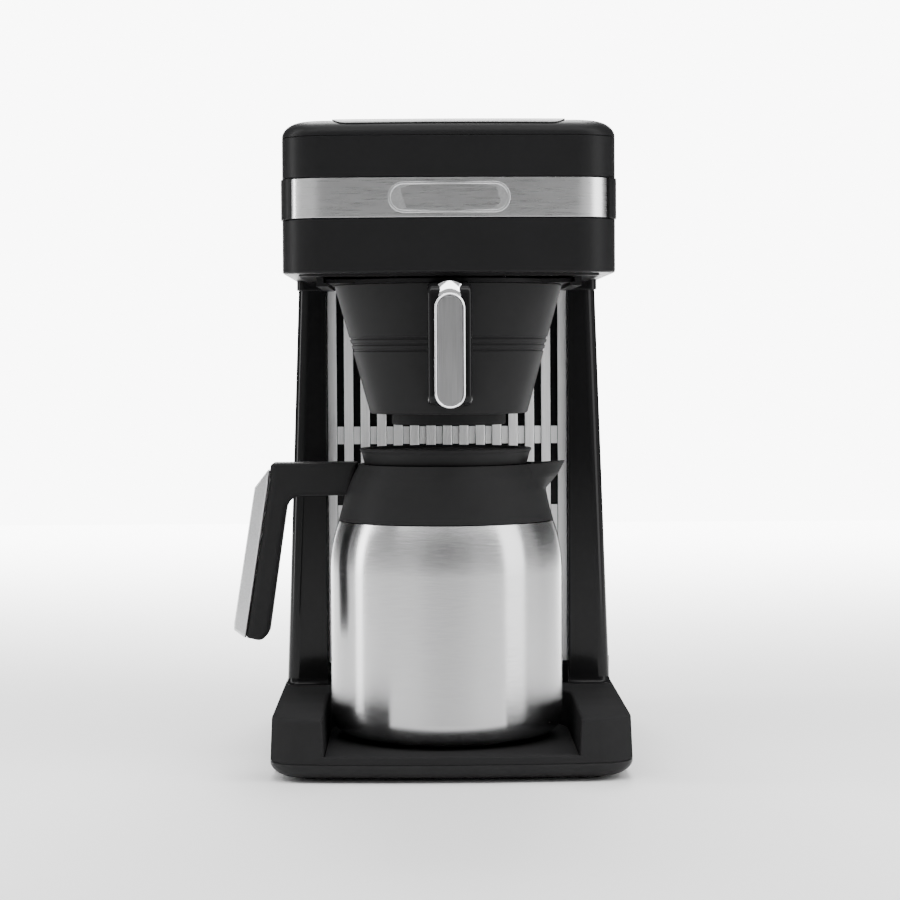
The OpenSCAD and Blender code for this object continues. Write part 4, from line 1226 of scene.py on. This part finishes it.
def room():
    world = bpy.data.worlds.new("studio")
    bpy.context.scene.world = world
    world.use_nodes = True
    tree = world.node_tree
    background = tree.nodes["Background"]
    coord = tree.nodes.new("ShaderNodeTexCoord")
    split = tree.nodes.new("ShaderNodeSeparateXYZ")
    tree.links.new(coord.outputs["Generated"], split.inputs["Vector"])
    strength = tree.nodes.new("ShaderNodeFloatCurve")
    curve = strength.mapping.curves[0]
    for y, value in ROOM:
        curve.points.new((y + 1) / 2, value / ROOM_SCALE)
    for point in curve.points:
        point.handle_type = "VECTOR"
    curve.points[0].location = (0, ROOM[0][1] / ROOM_SCALE)
    curve.points[len(curve.points) - 1].location = (1, ROOM[-1][1] / ROOM_SCALE)
    strength.mapping.update()
    along = math_node(tree, "MULTIPLY_ADD", split.outputs["Y"], 0.5, 0.5)
    tree.links.new(along, strength.inputs["Value"])
    scaled = math_node(tree, "MULTIPLY", strength.outputs["Value"], ROOM_SCALE)
    tree.links.new(scaled, background.inputs["Strength"])
    background.inputs["Color"].default_value = (1, 1, 1, 1)


def studio():
    room()
    floor_card((9, 6), (0, -0.8, -0.0002), (0.92, 0.92, 0.92))
    light("side_left", (0.24, 1.6), 11, (-1.3, 0.02, 0.72), (0, -0.06, 0.18))
    light("side_right", (0.60, 1.6), 12, (1.2, -0.52, 0.72), (0, -0.06, 0.18))
    light("floor_back", (1.3, 2.0), 150, (0, 2.2, 2.4), (0, 1.7, 0))
    light("floor_front", (4.5, 0.9), 70, (0, -1.3, 2.4), (0, -0.9, 0))
    light("top", (1.4, 1.2), 14, (0, 0.1, 1.7), (0, 0, 0.2))


CAMERA_PLACE = Vector((-0.0165, -1.702, 0.244))
CAMERA_AIM = Vector((-0.0003, -0.172, 0.1893))
CAMERA_LENS = 108.7
CAMERA_ROLL = math.radians(-0.30)


def camera():
    data = bpy.data.cameras.new("camera")
    data.lens = CAMERA_LENS
    data.sensor_width = 36
    data.clip_start = 0.05
    data.clip_end = 50
    obj = bpy.data.objects.new("camera", data)
    bpy.context.collection.objects.link(obj)
    obj.location = CAMERA_PLACE
    facing = (CAMERA_AIM - CAMERA_PLACE).to_track_quat("-Z", "Y").to_matrix()
    obj.rotation_euler = (facing @ Matrix.Rotation(CAMERA_ROLL, 3, "Z")).to_euler()
    bpy.context.scene.camera = obj


finish_cad_nodes()
base_pan()
base_deck()
drip_plate()
pillar(-1)
pillar(1)
decor_grille()
neck_collar()
head_lower()
belt()
front_band()
badge()
head_upper()
top_frame()
fill_lid()
hinge_lugs()
funnel_cone()
funnel_outlet()
funnel_handle()
funnel_bezel()
carafe_shell()
carafe_collar()
carafe_lid()
carafe_handle()
studio()
camera()
